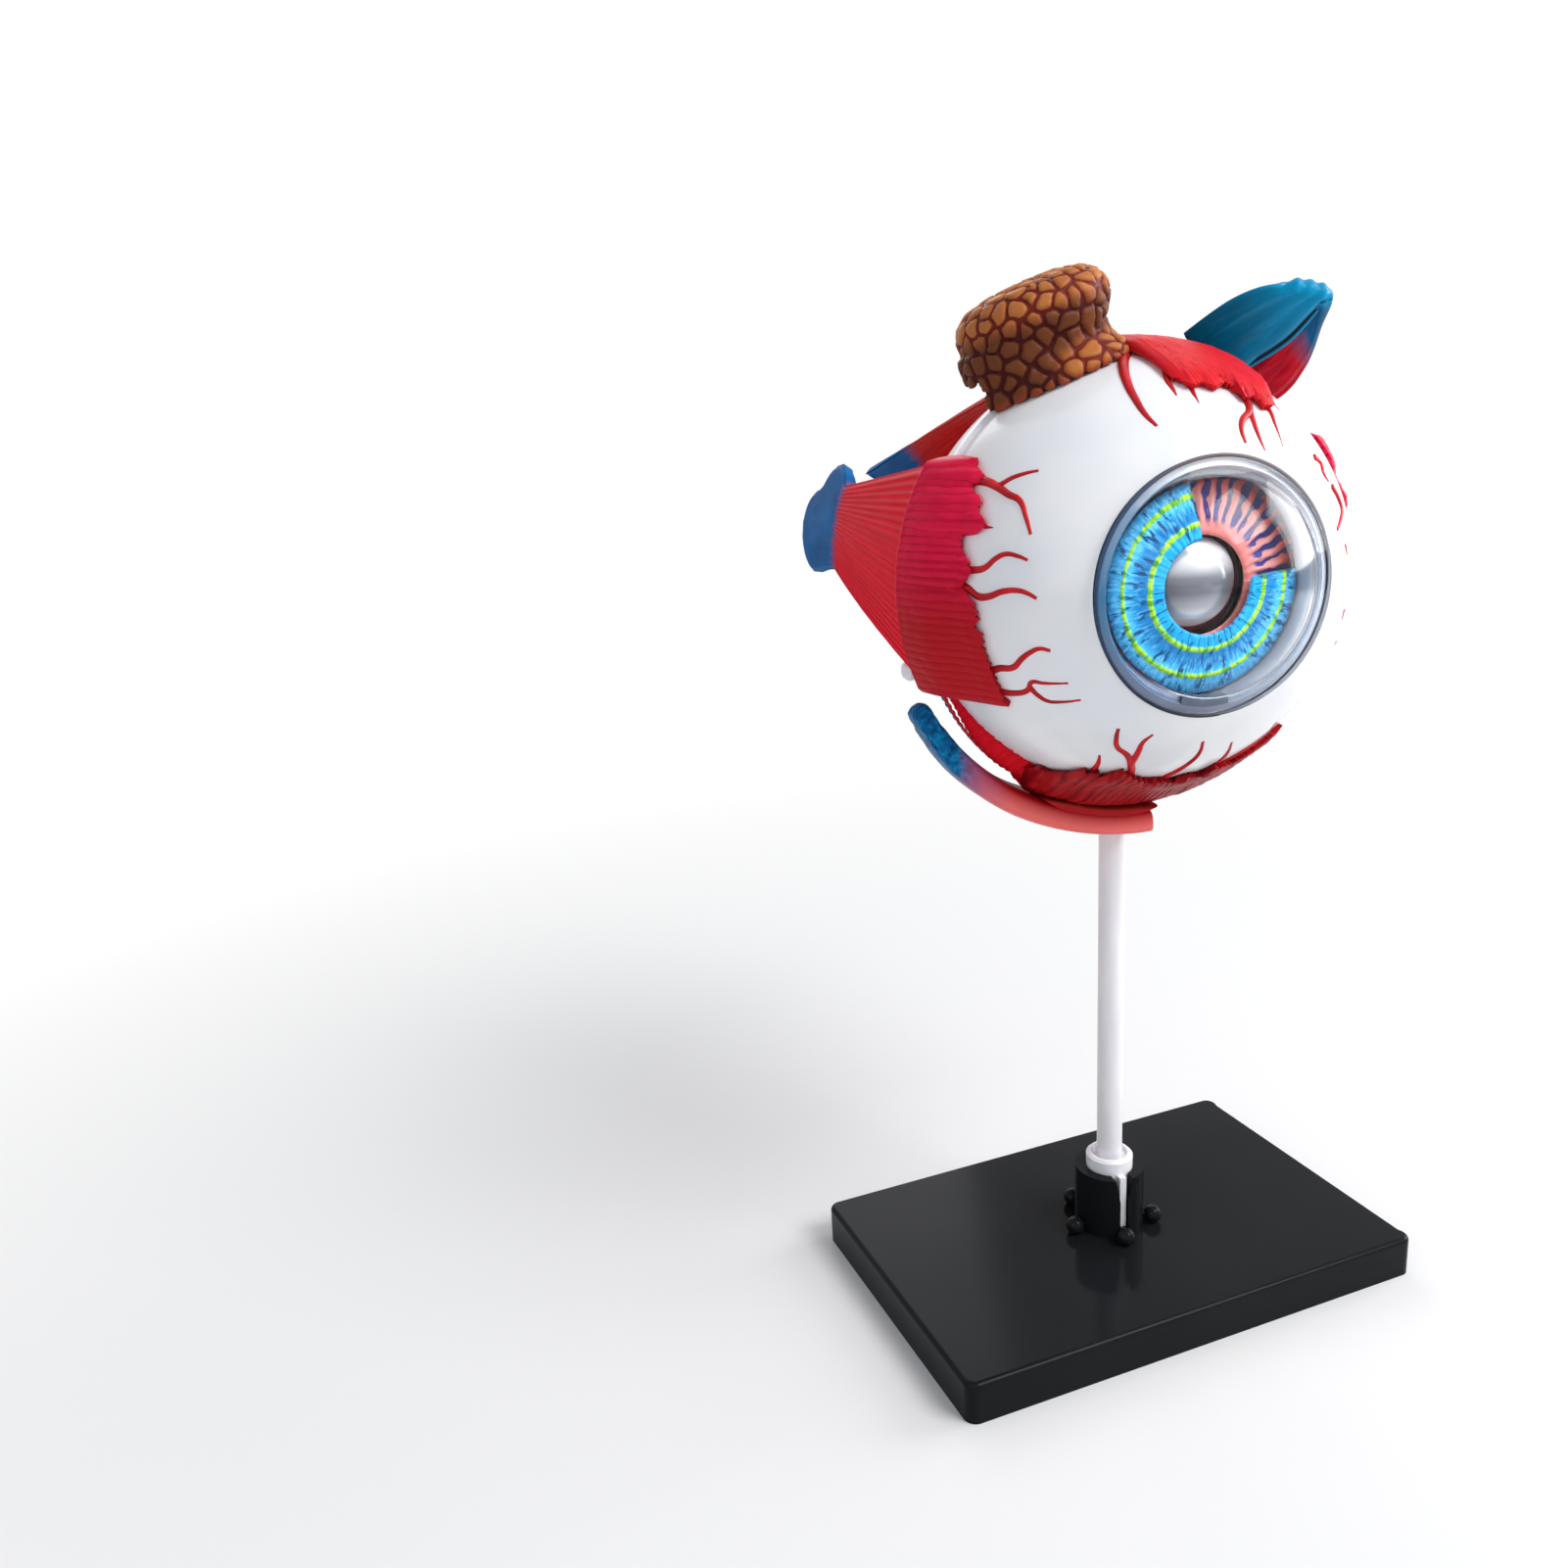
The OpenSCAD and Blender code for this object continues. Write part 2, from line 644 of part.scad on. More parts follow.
// a squat lump with a brim, a waist and a rounded crown
module gland_body() {
    brim = gland_d / 2;
    rotate_extrude() polygon([
        [0, 24], [brim, 24], [brim, 29.2], [brim - 0.4, 30.2], [brim - 1.8, 31.6],
        [brim - 2.1, 33.2], [brim - 1.3, 34.8], [brim - 0.5, 36.4], [brim - 0.3, 38],
        [brim - 0.9, gland_reach - 2.5], [brim - 2.8, gland_reach - 1], [brim - 6.4, gland_reach - 0.2],
        [0, gland_reach]]);
}

module lacrimal_gland() color([0.55, 0.34, 0.14]) eye_place() {
    difference() {
        gland_frame() {
            gland_body();
            translate([-2.8, 0, 24]) cylinder(r = gland_d / 2 - 2.2, h = 12);
        }
        sphere(r = eye_r + 0.25);
        tube_y(muscle_out + ridge_t + 0.4, 1, -0.2, far);
        gland_clear_of_insertion();
    }
    gland_frame() translate([0, -6, 29.2]) cylinder(r = 1.1, h = 4);
}

// keeps the brim off the end of the upper insertion
module gland_clear_of_insertion() {
    translate([-1.9, -far / 2, 0]) intersection() {
        cube([far, far, muscle_out + 0.3]);
        translate([1.9, far / 2, 0]) rotate([90, 0, 0])
            cylinder(r = muscle_out + 0.3, h = far, center = true);
    }
}

base_plate();
rod_socket();
support_rod();
inferior_oblique();
inferior_rectus();
sclera_rear();
choroid();
retina();
vitreous_body();
sclera_front();
lateral_insertion();
medial_insertion();
superior_insertion();
inferior_insertion();
lens();
ciliary_body();
iris();
cornea();
lateral_rectus();
medial_rectus();
superior_rectus();
superior_oblique();
optic_nerve_sheath();
optic_nerve();
central_vessels();
lacrimal_gland();
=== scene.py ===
import random
from math import cos, exp, pi, radians, sin, sqrt

import bpy
from mathutils import Matrix, Vector, kdtree, noise


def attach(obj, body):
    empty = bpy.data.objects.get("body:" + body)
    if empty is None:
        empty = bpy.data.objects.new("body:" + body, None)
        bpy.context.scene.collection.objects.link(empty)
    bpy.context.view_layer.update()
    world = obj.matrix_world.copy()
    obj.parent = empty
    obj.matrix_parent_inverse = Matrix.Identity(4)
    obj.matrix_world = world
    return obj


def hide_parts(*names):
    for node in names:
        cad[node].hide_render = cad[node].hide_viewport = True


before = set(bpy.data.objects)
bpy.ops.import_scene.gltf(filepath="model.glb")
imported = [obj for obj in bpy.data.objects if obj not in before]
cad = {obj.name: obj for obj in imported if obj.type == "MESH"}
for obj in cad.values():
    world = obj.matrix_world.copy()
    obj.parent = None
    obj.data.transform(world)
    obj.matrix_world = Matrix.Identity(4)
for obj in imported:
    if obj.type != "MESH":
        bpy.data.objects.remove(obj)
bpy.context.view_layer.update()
mm = 0.001

# The middle of the eyeball in the model's frame, in mm and degrees
eye = {"height": 113.3, "turn": 7.2, "lead": 2.5, "radius": 30.0}
eyePlace = (Matrix.Translation((0, 0, eye["height"] * mm)) @ Matrix.Rotation(-radians(eye["turn"]), 4, "Z")
            @ Matrix.Translation((0, -eye["lead"] * mm, 0)) @ Matrix.Scale(mm, 4))
pupil = Vector((-0.9, 0, 0.6))             # the pupil's axis, beside the middle of the eyeball
print("frame loaded:", len(cad), "nodes")


# Small helpers

def deselect():
    if bpy.context.object and bpy.context.object.mode != "OBJECT":
        bpy.ops.object.mode_set(mode="OBJECT")
    bpy.ops.object.select_all(action="DESELECT")


def only(piece):
    deselect()
    piece.select_set(True)
    bpy.context.view_layer.objects.active = piece


def clamp(value, low=0.0, high=1.0):
    return max(low, min(high, value))


def smooth(value, start, end):
    t = clamp((value - start) / (end - start))
    return t * t * (3 - 2 * t)


def along(points, at):
    # straight between given (place, value) points
    if at <= points[0][0]:
        return points[0][1]
    for (a, va), (b, vb) in zip(points, points[1:]):
        if at <= b:
            return va + (vb - va) * (at - a) / (b - a)
    return points[-1][1]


def useModifier(piece, kind, **values):
    only(piece)
    mod = piece.modifiers.new(kind.lower(), kind)
    for key, value in values.items():
        setattr(mod, key, value)
    bpy.ops.object.modifier_apply(modifier=mod.name)


def thicken(piece, wall, offset=-1.0):
    useModifier(piece, "SOLIDIFY", thickness=wall, offset=offset, use_even_offset=False)


def tidyMesh(piece, close=0.0001):
    only(piece)
    bpy.ops.object.mode_set(mode="EDIT")
    bpy.ops.mesh.select_all(action="SELECT")
    bpy.ops.mesh.remove_doubles(threshold=close)
    bpy.ops.mesh.normals_make_consistent(inside=False)
    bpy.ops.object.mode_set(mode="OBJECT")


def gridSheet(name, across, lengthwise, shape):
    # a grid whose points are laid out by shape(u, v), with u and v from 0 to 1
    deselect()
    bpy.ops.mesh.primitive_grid_add(x_subdivisions=across, y_subdivisions=lengthwise, size=2)
    piece = bpy.context.object
    piece.name = name
    for point in piece.data.vertices:
        point.co = shape((point.co.x + 1) / 2, (point.co.y + 1) / 2)
    return piece


def joinAll(pieces):
    deselect()
    for piece in pieces:
        piece.select_set(True)
    bpy.context.view_layer.objects.active = pieces[0]
    bpy.ops.object.join()
    return pieces[0]


def settle(piece, body, nodes=(), angle=40):
    # from the eye's own mm to the model's metres, riding on its body
    piece.data.transform(eyePlace)
    only(piece)
    bpy.ops.object.shade_smooth_by_angle(angle=radians(angle))
    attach(piece, body)
    if nodes:
        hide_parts(*nodes)
    return piece


def cadCopy(node, name):
    # a merged copy of a CAD node's mesh, back in the eye's own mm
    piece = bpy.data.objects.new(name, cad[node].data.copy())
    bpy.context.collection.objects.link(piece)
    piece.data.materials.clear()
    piece.data.transform(eyePlace.inverted())
    tidyMesh(piece)
    return piece


# Material helpers

def fromTo(start, end, low=0.0, high=1.0):
    # two stops of a grey ramp
    return [(start, (low,) * 3), (end, (high,) * 3)]


class Finish:
    # one procedural material; every call adds a node and returns its output

    def __init__(self, name, roughness=0.35, **shader):
        self.material = bpy.data.materials.new(name)
        self.material.use_nodes = True
        self.nodes = self.material.node_tree.nodes
        self.links = self.material.node_tree.links
        self.shader = self.nodes["Principled BSDF"]
        self.set("Roughness", roughness)
        for key, value in shader.items():
            self.set(key.replace("_", " "), value)

    def set(self, socket, value):
        entry = self.shader.inputs[socket]
        if hasattr(value, "is_output"):
            self.links.new(value, entry)
        else:
            entry.default_value = value

    def add(self, kind, outlet=0, inlets=None, **values):
        made = self.nodes.new("ShaderNode" + kind)
        for key, value in values.items():
            setattr(made, key, value)
        for key, value in (inlets or {}).items():
            entry = made.inputs[key]
            if hasattr(value, "is_output"):
                self.links.new(value, entry)
            else:
                entry.default_value = value
        return made.outputs[outlet]

    def place(self):
        # object coordinates in metres
        return self.add("TexCoord", "Object")

    def eyeMm(self, middle=(0, 0, 0)):
        # object coordinates in the eye's own mm
        return self.add("Mapping", inlets={
            "Vector": self.place(), "Location": (-middle[0], eye["lead"], -eye["height"] - middle[2]),
            "Rotation": (0, 0, radians(eye["turn"])), "Scale": (1000, 1000, 1000)})

    def split(self, vector):
        made = self.nodes.new("ShaderNodeSeparateXYZ")
        self.links.new(vector, made.inputs[0])
        return made.outputs

    def math(self, operation, a, b=0.0, c=0.0):
        return self.add("Math", operation=operation, inlets={0: a, 1: b, 2: c})

    def spread(self, value, low, high):
        # 0 at low and 1 at high, flat beyond them
        return self.add("MapRange", inlets={"Value": value, "From Min": low, "From Max": high})

    def across(self):
        # the UV and its two numbers
        uv = self.add("UVMap")
        return uv, *self.split(uv)[:2]

    def scaled(self, vector, scale):
        return self.add("Mapping", inlets={"Vector": vector, "Scale": scale})

    def cloud(self, vector, scale, detail=3.0, roughness=0.5, outlet="Fac"):
        return self.add("TexNoise", outlet, inlets={
            "Vector": vector, "Scale": scale, "Detail": detail, "Roughness": roughness})

    def ramp(self, factor, stops, ease="LINEAR"):
        made = self.nodes.new("ShaderNodeValToRGB")
        made.color_ramp.interpolation = ease
        while len(made.color_ramp.elements) < len(stops):
            made.color_ramp.elements.new(0.5)
        for element, (at, colour) in zip(made.color_ramp.elements, sorted(stops, key=lambda s: s[0])):
            element.position = at
            element.color = (*colour, 1.0)
        self.links.new(factor, made.inputs[0])
        return made.outputs[0]

    def mix(self, factor, a, b, blend="MIX"):
        made = self.nodes.new("ShaderNodeMix")
        made.data_type = "RGBA"
        made.blend_type = blend
        for entry, value in ((made.inputs[0], factor), (made.inputs[6], a), (made.inputs[7], b)):
            if hasattr(value, "is_output"):
                self.links.new(value, entry)
            elif entry.type == "RGBA":
                entry.default_value = (*value, 1.0)
            else:
                entry.default_value = value
        return made.outputs[2]

    def bump(self, height, strength=0.3, distance=0.0002):
        self.set("Normal", self.add("Bump", inlets={
            "Height": height, "Strength": strength, "Distance": distance}))

    def letLightThrough(self, tint):
        path = self.add("LightPath", "Is Shadow Ray")
        through = self.add("BsdfTransparent", inlets={"Color": (*tint, 1)})
        both = self.add("MixShader", inlets={0: path, 1: self.shader.outputs[0], 2: through})
        self.links.new(both, self.nodes["Material Output"].inputs["Surface"])

    def give(self, *pieces):
        for piece in pieces:
            piece.data.materials.clear()
            piece.data.materials.append(self.material)


# Camera, light and floor

photo = {"size": 1601, "focal": 1351.7, "yaw": -20.34, "pitch": 15.49, "roll": -3.42,
         "place": (-112.8, -162.2, 137.5)}


def cameraAxes():
    yaw, pitch, roll = (radians(photo[k]) for k in ("yaw", "pitch", "roll"))
    ahead = Vector((-sin(yaw) * cos(pitch), cos(yaw) * cos(pitch), -sin(pitch)))
    level = Vector((cos(yaw), sin(yaw), 0))
    above = level.cross(ahead)
    right = level * cos(roll) + above * sin(roll)
    up = above * cos(roll) - level * sin(roll)
    return right, up, ahead


def addCamera():
    right, up, ahead = cameraAxes()
    data = bpy.data.cameras.new("photoCamera")
    data.lens = photo["focal"] * 36 / photo["size"]
    data.sensor_width = 36
    data.clip_start = 0.01
    camera = bpy.data.objects.new("photoCamera", data)
    bpy.context.collection.objects.link(camera)
    place = Vector(photo["place"]) * mm
    camera.matrix_world = Matrix((
        (right.x, up.x, -ahead.x, place.x), (right.y, up.y, -ahead.y, place.y),
        (right.z, up.z, -ahead.z, place.z), (0, 0, 0, 1)))
    bpy.context.scene.camera = camera


def addLamp(name, place, target, size, power, colour=(1, 1, 1)):
    data = bpy.data.lights.new(name, "AREA")
    data.size = size
    data.energy = power
    data.color = colour
    lamp = bpy.data.objects.new(name, data)
    bpy.context.collection.objects.link(lamp)
    lamp.location = place
    lamp.rotation_euler = (Vector(target) - Vector(place)).to_track_quat("-Z", "Y").to_euler()


def addFloor():
    deselect()
    bpy.ops.mesh.primitive_plane_add(size=6, location=(0, 0, 0))
    floor = bpy.context.object
    floor.name = "floor"
    paper = Finish("floorPaper", 0.9)
    paper.set("Base Color", (0.75, 0.75, 0.75, 1))
    white = paper.add("Emission", inlets={"Color": (1, 1, 1, 1), "Strength": 1.0})
    far = paper.spread(paper.add("VectorMath", "Value", operation="LENGTH", inlets={0: paper.place()}), 0.07, 0.3)
    seen = paper.math("MULTIPLY", far, paper.add("LightPath", "Is Camera Ray"))
    both = paper.add("MixShader", inlets={0: seen, 1: paper.shader.outputs[0], 2: white})
    paper.links.new(both, paper.nodes["Material Output"].inputs["Surface"])
    paper.give(floor)


def addWorld():
    world = bpy.data.worlds.new("studio")
    bpy.context.scene.world = world
    world.use_nodes = True
    nodes, links = world.node_tree.nodes, world.node_tree.links
    light = nodes["Background"]
    light.inputs["Color"].default_value = (0.9, 0.94, 1.0, 1)
    light.inputs["Strength"].default_value = 0.42
    seen = nodes.new("ShaderNodeBackground")
    seen.inputs["Color"].default_value = (1, 1, 1, 1)
    path = nodes.new("ShaderNodeLightPath")
    rays = [path.outputs[kind] for kind in ("Is Camera Ray", "Is Glossy Ray", "Is Transmission Ray")]
    most = rays[0]
    for ray in rays[1:]:
        either = nodes.new("ShaderNodeMath")
        either.operation = "MAXIMUM"
        links.new(most, either.inputs[0])
        links.new(ray, either.inputs[1])
        most = either.outputs[0]
    both = nodes.new("ShaderNodeMixShader")
    links.new(most, both.inputs[0])
    links.new(light.outputs[0], both.inputs[1])
    links.new(seen.outputs[0], both.inputs[2])
    links.new(both.outputs[0], nodes["World Output"].inputs["Surface"])


addCamera()
addWorld()
addFloor()
addLamp("keyWindow", (0.3, -0.42, 0.6), (0, 0, 0.1), 0.4, 4.6)
addLamp("fillLeft", (-0.5, -0.3, 0.3), (0, 0, 0.11), 0.4, 0.5)
addLamp("sideRight", (0.62, -0.05, 0.3), (0, 0, 0.11), 0.4, 2.8)
addLamp("rimBack", (0.1, 0.6, 0.5), (0, 0, 0.1), 0.4, 0.9)
bpy.context.scene.view_settings.view_transform = "Standard"
print("camera, lamps and floor set")


# Photo points laid on the ball

def pixelRay(px, py):
    right, up, ahead = cameraAxes()
    middle = photo["size"] / 2
    ray = right * (px - middle) + up * (middle - py) + ahead * photo["focal"]
    turned = eyePlace.inverted().to_3x3() @ ray
    start = eyePlace.inverted() @ (Vector(photo["place"]) * mm)
    return start, turned.normalized()


def onBall(px, py, radius=eye["radius"]):
    # where a photo point meets the front of the ball, in the eye's own mm
    start, ray = pixelRay(px, py)
    t = -start.dot(ray)
    nearest = start + ray * t
    gap = nearest.length
    if gap >= radius:
        return nearest * (radius / gap)
    return nearest - ray * sqrt(radius * radius - gap * gap)


# Stand

def standFinishes():
    black = Finish("blackPlastic", 0.12, Specular_IOR_Level=0.06)
    speck = black.cloud(black.place(), 900, 2)
    broad = black.cloud(black.place(), 30, 2)
    black.set("Base Color", black.ramp(broad, [(0.3, (0.007, 0.008, 0.009)), (0.75, (0.012, 0.013, 0.015))]))
    black.set("Roughness", black.math("MULTIPLY_ADD", speck, 0.08, 0.08))
    black.bump(black.cloud(black.place(), 2600, 2), 0.05, 0.00005)
    black.give(cad["base_plate"], cad["rod_socket"])

    ivory = Finish("ivoryRod", 0.28, Specular_IOR_Level=0.4)
    cloudy = ivory.cloud(ivory.scaled(ivory.place(), (1, 1, 0.15)), 420, 3)
    ivory.set("Base Color", ivory.mix(
        ivory.ramp(cloudy, fromTo(0.3, 0.75)), (0.74, 0.73, 0.78), (0.86, 0.85, 0.86)))
    ivory.bump(ivory.cloud(ivory.scaled(ivory.place(), (1, 1, 0.1)), 900, 2), 0.06, 0.0001)
    ivory.give(cad["support_rod"])


standFinishes()
print("stand finished")


# Straight muscles

muscle = {
    "seamUp": 17.0, "seamDown": 13.6,          # half widths at the seam
    "inner": 31.2, "length": 72.5, "start": 0.3,
    "nose": 7.3, "noseMiddle": -3.6,           # the round blue end
    "ribs": 24, "ribDeep": 0.22, "notchDeep": 4.0, "across": 150, "rows": 64,
    "upperEdge": [(0, -17), (45, -12.4), (49, -14.4), (53, -15.8), (58, -15.2), (60.6, -12.6), (65.2, -10.9)],
    "lowerEdge": [(0, 13.6), (46, 1.4), (50, 1.8), (57, 3), (65.2, 3.7)],
}


def muscleEdges(distance):
    low, high = along(muscle["upperEdge"], distance), along(muscle["lowerEdge"], distance)
    past = distance - (muscle["length"] - muscle["nose"])
    if past > 0:
        half = sqrt(max(muscle["nose"] ** 2 - past ** 2, 0.02))
        low, high = muscle["noseMiddle"] - half, muscle["noseMiddle"] + half
    return low, high


def sideMatrix(side):
    # turns a muscle drawn on top of the eye to its own side
    up = {"superior": Matrix.Identity(4),
          "inferior": Matrix.Diagonal((1, 1, -1, 1)),
          "lateral": Matrix(((0, 0, -1, 0), (0, 1, 0, 0), (-1, 0, 0, 0), (0, 0, 0, 1))),
          "medial": Matrix(((0, 0, 1, 0), (0, 1, 0, 0), (-1, 0, 0, 0), (0, 0, 0, 1)))}
    return up[side]


def makeMuscle(side, slope, thick, inner, turn=0, ridge=0.45, lip=0.0, notch=0.0, curl=0.0):
    lean, yaw = radians(slope), radians(turn)
    start = muscle["start"]
    pivot = Vector((0, start, inner))
    swing = Matrix.Rotation(yaw, 3, "Z") @ Matrix.Rotation(-lean, 3, "X")

    def shape(u, v):
        atSeam = muscle["seamDown"] * u - muscle["seamUp"] * (1 - u)
        cut = muscle["notchDeep"] if abs(atSeam) < notch / 2 else 0
        reach = cut + (muscle["length"] - cut) * (1 - (1 - v) ** 1.25)
        low, high = muscleEdges(reach)
        x = low + (high - low) * u
        rib = muscle["ribDeep"] * (0.5 - 0.5 * cos(2 * pi * muscle["ribs"] * u))
        rib *= 1 - smooth(v, 0.5, 0.64)
        edge = min(u, 1 - u) * (high - low)
        radius = inner + thick - rib - 0.25 * thick * (1 - smooth(edge, 0, 0.9))
        radius += 0.08 * noise.noise(Vector((x * 0.5, reach * 0.12, 3.1)))
        radius += ridge * (1 - smooth(reach, 1.0, 2.2)) - lip * (1 - smooth(reach, 0.2, 3.5))
        z = sqrt(radius * radius - x * x) - curl * smooth(reach, 36, 62) * smooth(x, -11, 4)
        slant = ((z - inner) * sin(lean) + x * sin(yaw)) * (1 - reach / 20) if reach < 20 else 0.0
        point = swing @ (Vector((x, reach + start - slant, z)) - pivot) + pivot
        point.y = max(point.y, start + cut)
        return point

    piece = gridSheet(side + "Muscle", muscle["across"], muscle["rows"], shape)
    thicken(piece, thick - muscle["ribDeep"] - lip)
    piece.data.transform(sideMatrix(side))
    tidyMesh(piece)
    return piece


def addPegs(piece, side, low, high):
    pegs = [piece]
    for x in (-8, 8):
        deselect()
        bpy.ops.mesh.primitive_cylinder_add(vertices=24, radius=1.1, depth=high - low,
                                            location=(x, 8, (low + high) / 2))
        peg = bpy.context.object
        bpy.ops.object.transform_apply(location=True, rotation=True, scale=True)
        peg.data.transform(sideMatrix(side))
        tidyMesh(peg)
        pegs.append(peg)
    return joinAll(pegs)


# The red seam band that runs on from the lower muscle round the temple side
band = {"from": -60, "to": -29, "rear": 2.7, "front": 3.8, "high": 2.15, "ribs": 15, "across": 90, "rows": 14}


def makeBand(name, behind):

    def shape(u, v):
        turn = radians(band["from"] + (band["to"] - band["from"]) * u)
        full = smooth(u, -0.25, 0.8)
        rib = 0.16 * (0.5 + 0.5 * cos(2 * pi * band["ribs"] * u))
        if behind:
            y = muscle["start"] + band["rear"] * v
            radius = 31.1 + (band["high"] - 0.8) * full * (1 - 0.2 * v) - rib
        else:
            y = -(0.4 + (band["front"] - 0.4) * full * (1 + 0.12 * sin(60 * u) + 0.1 * sin(97 * u))) * (1 - v) - 0.03
            radius = 30.1 + (0.3 + band["high"] * full) * smooth(v, -0.1, 0.9) - rib * smooth(v, 0, 0.2)
        level = sqrt(radius * radius - y * y)
        return Vector((level * sin(turn), y, level * cos(turn)))

    piece = gridSheet(name, band["across"], band["rows"], shape)
    thicken(piece, 0.25 if behind else 0.9)
    piece.data.transform(sideMatrix("inferior"))
    tidyMesh(piece, 0.001)
    return piece


def muscleFinish(name, red, deep, pale, paleMost, slant=0.0):
    paint = Finish(name, 0.42, Specular_IOR_Level=0.015)
    uv, u, v = paint.across()
    fibre = paint.cloud(paint.scaled(uv, (60, 2.2, 1)), 1.0, 3, 0.6)
    fine = paint.cloud(paint.scaled(uv, (130, 4, 1)), 1.0, 2, 0.5)
    blotch = paint.cloud(paint.scaled(uv, (3, 5, 1)), 1.0, 3, 0.5)
    groove = paint.math("COSINE", paint.math("MULTIPLY", u, 2 * pi * muscle["ribs"]))
    base = paint.mix(paint.ramp(fibre, fromTo(0.3, 0.6)), deep, red)
    groove = paint.math("MULTIPLY_ADD", groove, 0.5, 0.5)
    base = paint.mix(paint.ramp(groove, [(0.05, (0, 0, 0)), (0.5, (0, 0, 0)), (0.9, (0.55,) * 3)]), base, deep)
    lift = paint.math("MULTIPLY", paint.ramp(fine, fromTo(0.54, 0.7)),
                      paint.ramp(v, [(0.05, (0.1,) * 3), (0.3, (0.35,) * 3), (0.48, (1, 1, 1)), (0.58, (0.7,) * 3)]))
    base = paint.mix(paint.math("MULTIPLY", lift, paleMost), base, pale)
    fade = paint.math("MULTIPLY_ADD", paint.cloud(paint.scaled(uv, (24, 2, 1)), 1.0, 2), 0.09, v)
    fade = paint.math("MULTIPLY_ADD", u, -slant, fade)
    base = paint.mix(paint.ramp(fade, fromTo(0.545, 0.61)), base,
                     paint.ramp(blotch, [(0.3, (0.001, 0.085, 0.27)), (0.7, (0.002, 0.14, 0.4))]))
    paint.set("Base Color", base)
    paint.bump(fibre, 0.25, 0.00015)
    return paint


def makeMuscles():
    bright = muscleFinish("brightMuscle", (0.9, 0.003, 0.026), (0.66, 0.0, 0.016), (0.92, 0.08, 0.1), 0.15)
    # painted shade: the upper muscle gets a darker brown-red copy of the muscle paint, for its shaded underside that
    # shows
    upperShadedRed = muscleFinish("upperMuscleShaded", (0.74, 0.018, 0.014), (0.44, 0.006, 0.006), (0.84, 0.12, 0.1),
                            0.25, 0.31)
    lateral = addPegs(makeMuscle("lateral", 4.1, 2.0, 31.2), "lateral", 26.8, 30.7)
    medial = addPegs(makeMuscle("medial", 4.1, 2.0, 31.2), "medial", 26.8, 30.7)
    upper = makeMuscle("superior", 14.1, 1.0, 31.0, turn=6, ridge=0.0, lip=0.45, curl=9.0)
    upper = addPegs(upper, "superior", 26.8, 28.5)
    lower = makeMuscle("inferior", 14.1, 2.0, 31.2, notch=13.0)
    band = makeBand("lowerBand", True)
    bright.give(lateral, medial, lower, band)
    upperShadedRed.give(upper)
    settle(lateral, "lateral_muscle", ["lateral_rectus"])
    settle(medial, "medial_muscle", ["medial_rectus"])
    settle(upper, "upper_muscle", ["superior_rectus"])
    settle(lower, "lower_muscle", ["inferior_rectus"])
    settle(band, "lower_muscle")


makeMuscles()
print("straight muscles made")

# Raised red insertions on the front shell

insertion = {
    "ribs": 30, "toothDeep": 0.7, "across": 150, "rows": 26, "foot": 29.85, "lip": 30.45,
    # front edges, read off the photo, from the temple or upper end on
    "lateralEdge": [(972, 471), (998, 474), (991, 480), (1001, 486), (992, 495), (983, 499), (993, 506),
                    (1001, 514), (995, 525), (1008, 537), (983, 541), (980, 552), (981, 565), (987, 572),
                    (990, 585), (983, 594), (970, 601), (985, 608), (993, 614), (998, 632), (993, 640),
                    (1001, 646), (1003, 661), (1010, 679), (1018, 699)],
    "superiorEdge": [(1146, 366), (1158, 372), (1168, 379), (1182, 377), (1192, 384), (1196, 391), (1206, 388),
                     (1216, 394), (1226, 390), (1238, 396), (1247, 391), (1262, 396), (1270, 407), (1279, 404),
                     (1288, 414), (1296, 414)],
    "inferiorEdge": [(1072, 789), (1087, 797), (1100, 794), (1112, 786), (1124, 786), (1134, 791), (1146, 788),
                     (1158, 794), (1170, 797), (1184, 796), (1198, 797), (1212, 792), (1226, 790), (1240, 783),
                     (1254, 779)],
    "medialEdge": [(-17, 9.5), (-14, 11), (-11.5, 8), (-9, 11.4), (-6, 9), (-3, 10.2), (0, 7), (2, 9.5),
                   (5, 11.3), (8, 9), (10, 11.5), (13.6, 8)],
}


def edgeFromPhoto(points, side):
    # (across, reach) pairs of a front edge: a photo point, laid on the ball and turned to the top
    pairs = []
    for px, py in points:
        x, y, z = sideMatrix(side).inverted() @ onBall(px, py, 30.5)
        pairs.append((x, -y))
    return sorted(pairs)


def makePatch(name, side, edge, low, high, top):

    def shape(u, v):
        x = low + (high - low) * u
        tooth = insertion["toothDeep"] * (0.5 - 0.5 * cos(2 * pi * insertion["ribs"] * u + 1.5 * sin(9 * u)))
        reach = max(along(edge, x) - tooth * (0.7 + 0.6 * noise.noise(Vector((x * 0.9, 4.2, 0)))), 1.0)
        y = -reach * v
        rise = (top - insertion["lip"]) * (1 - v) ** 0.8 * (1 - smooth(-y, 5, 12))
        ball = insertion["lip"] + rise - 0.14 * (0.5 + 0.5 * cos(2 * pi * insertion["ribs"] * u)) * smooth(v, 0, 0.1)
        ball += 0.1 * noise.noise(Vector((x * 0.7, y * 0.7, 8)))
        inset = min(u, 1 - u) * (high - low)
        ball = insertion["foot"] + (ball - insertion["foot"]) * smooth(inset, -0.25, 0.5)
        if v > 0.93:
            ball = insertion["foot"] + (ball - insertion["foot"]) * (1 - smooth(v, 0.93, 1.06))
        z = sqrt(max(ball * ball - x * x - y * y, 1.0))
        return Vector((x, min(y, -0.02), z))

    piece = gridSheet(name, insertion["across"], insertion["rows"], shape)
    thicken(piece, 0.9)
    piece.data.transform(sideMatrix(side))
    tidyMesh(piece, 0.001)
    return piece


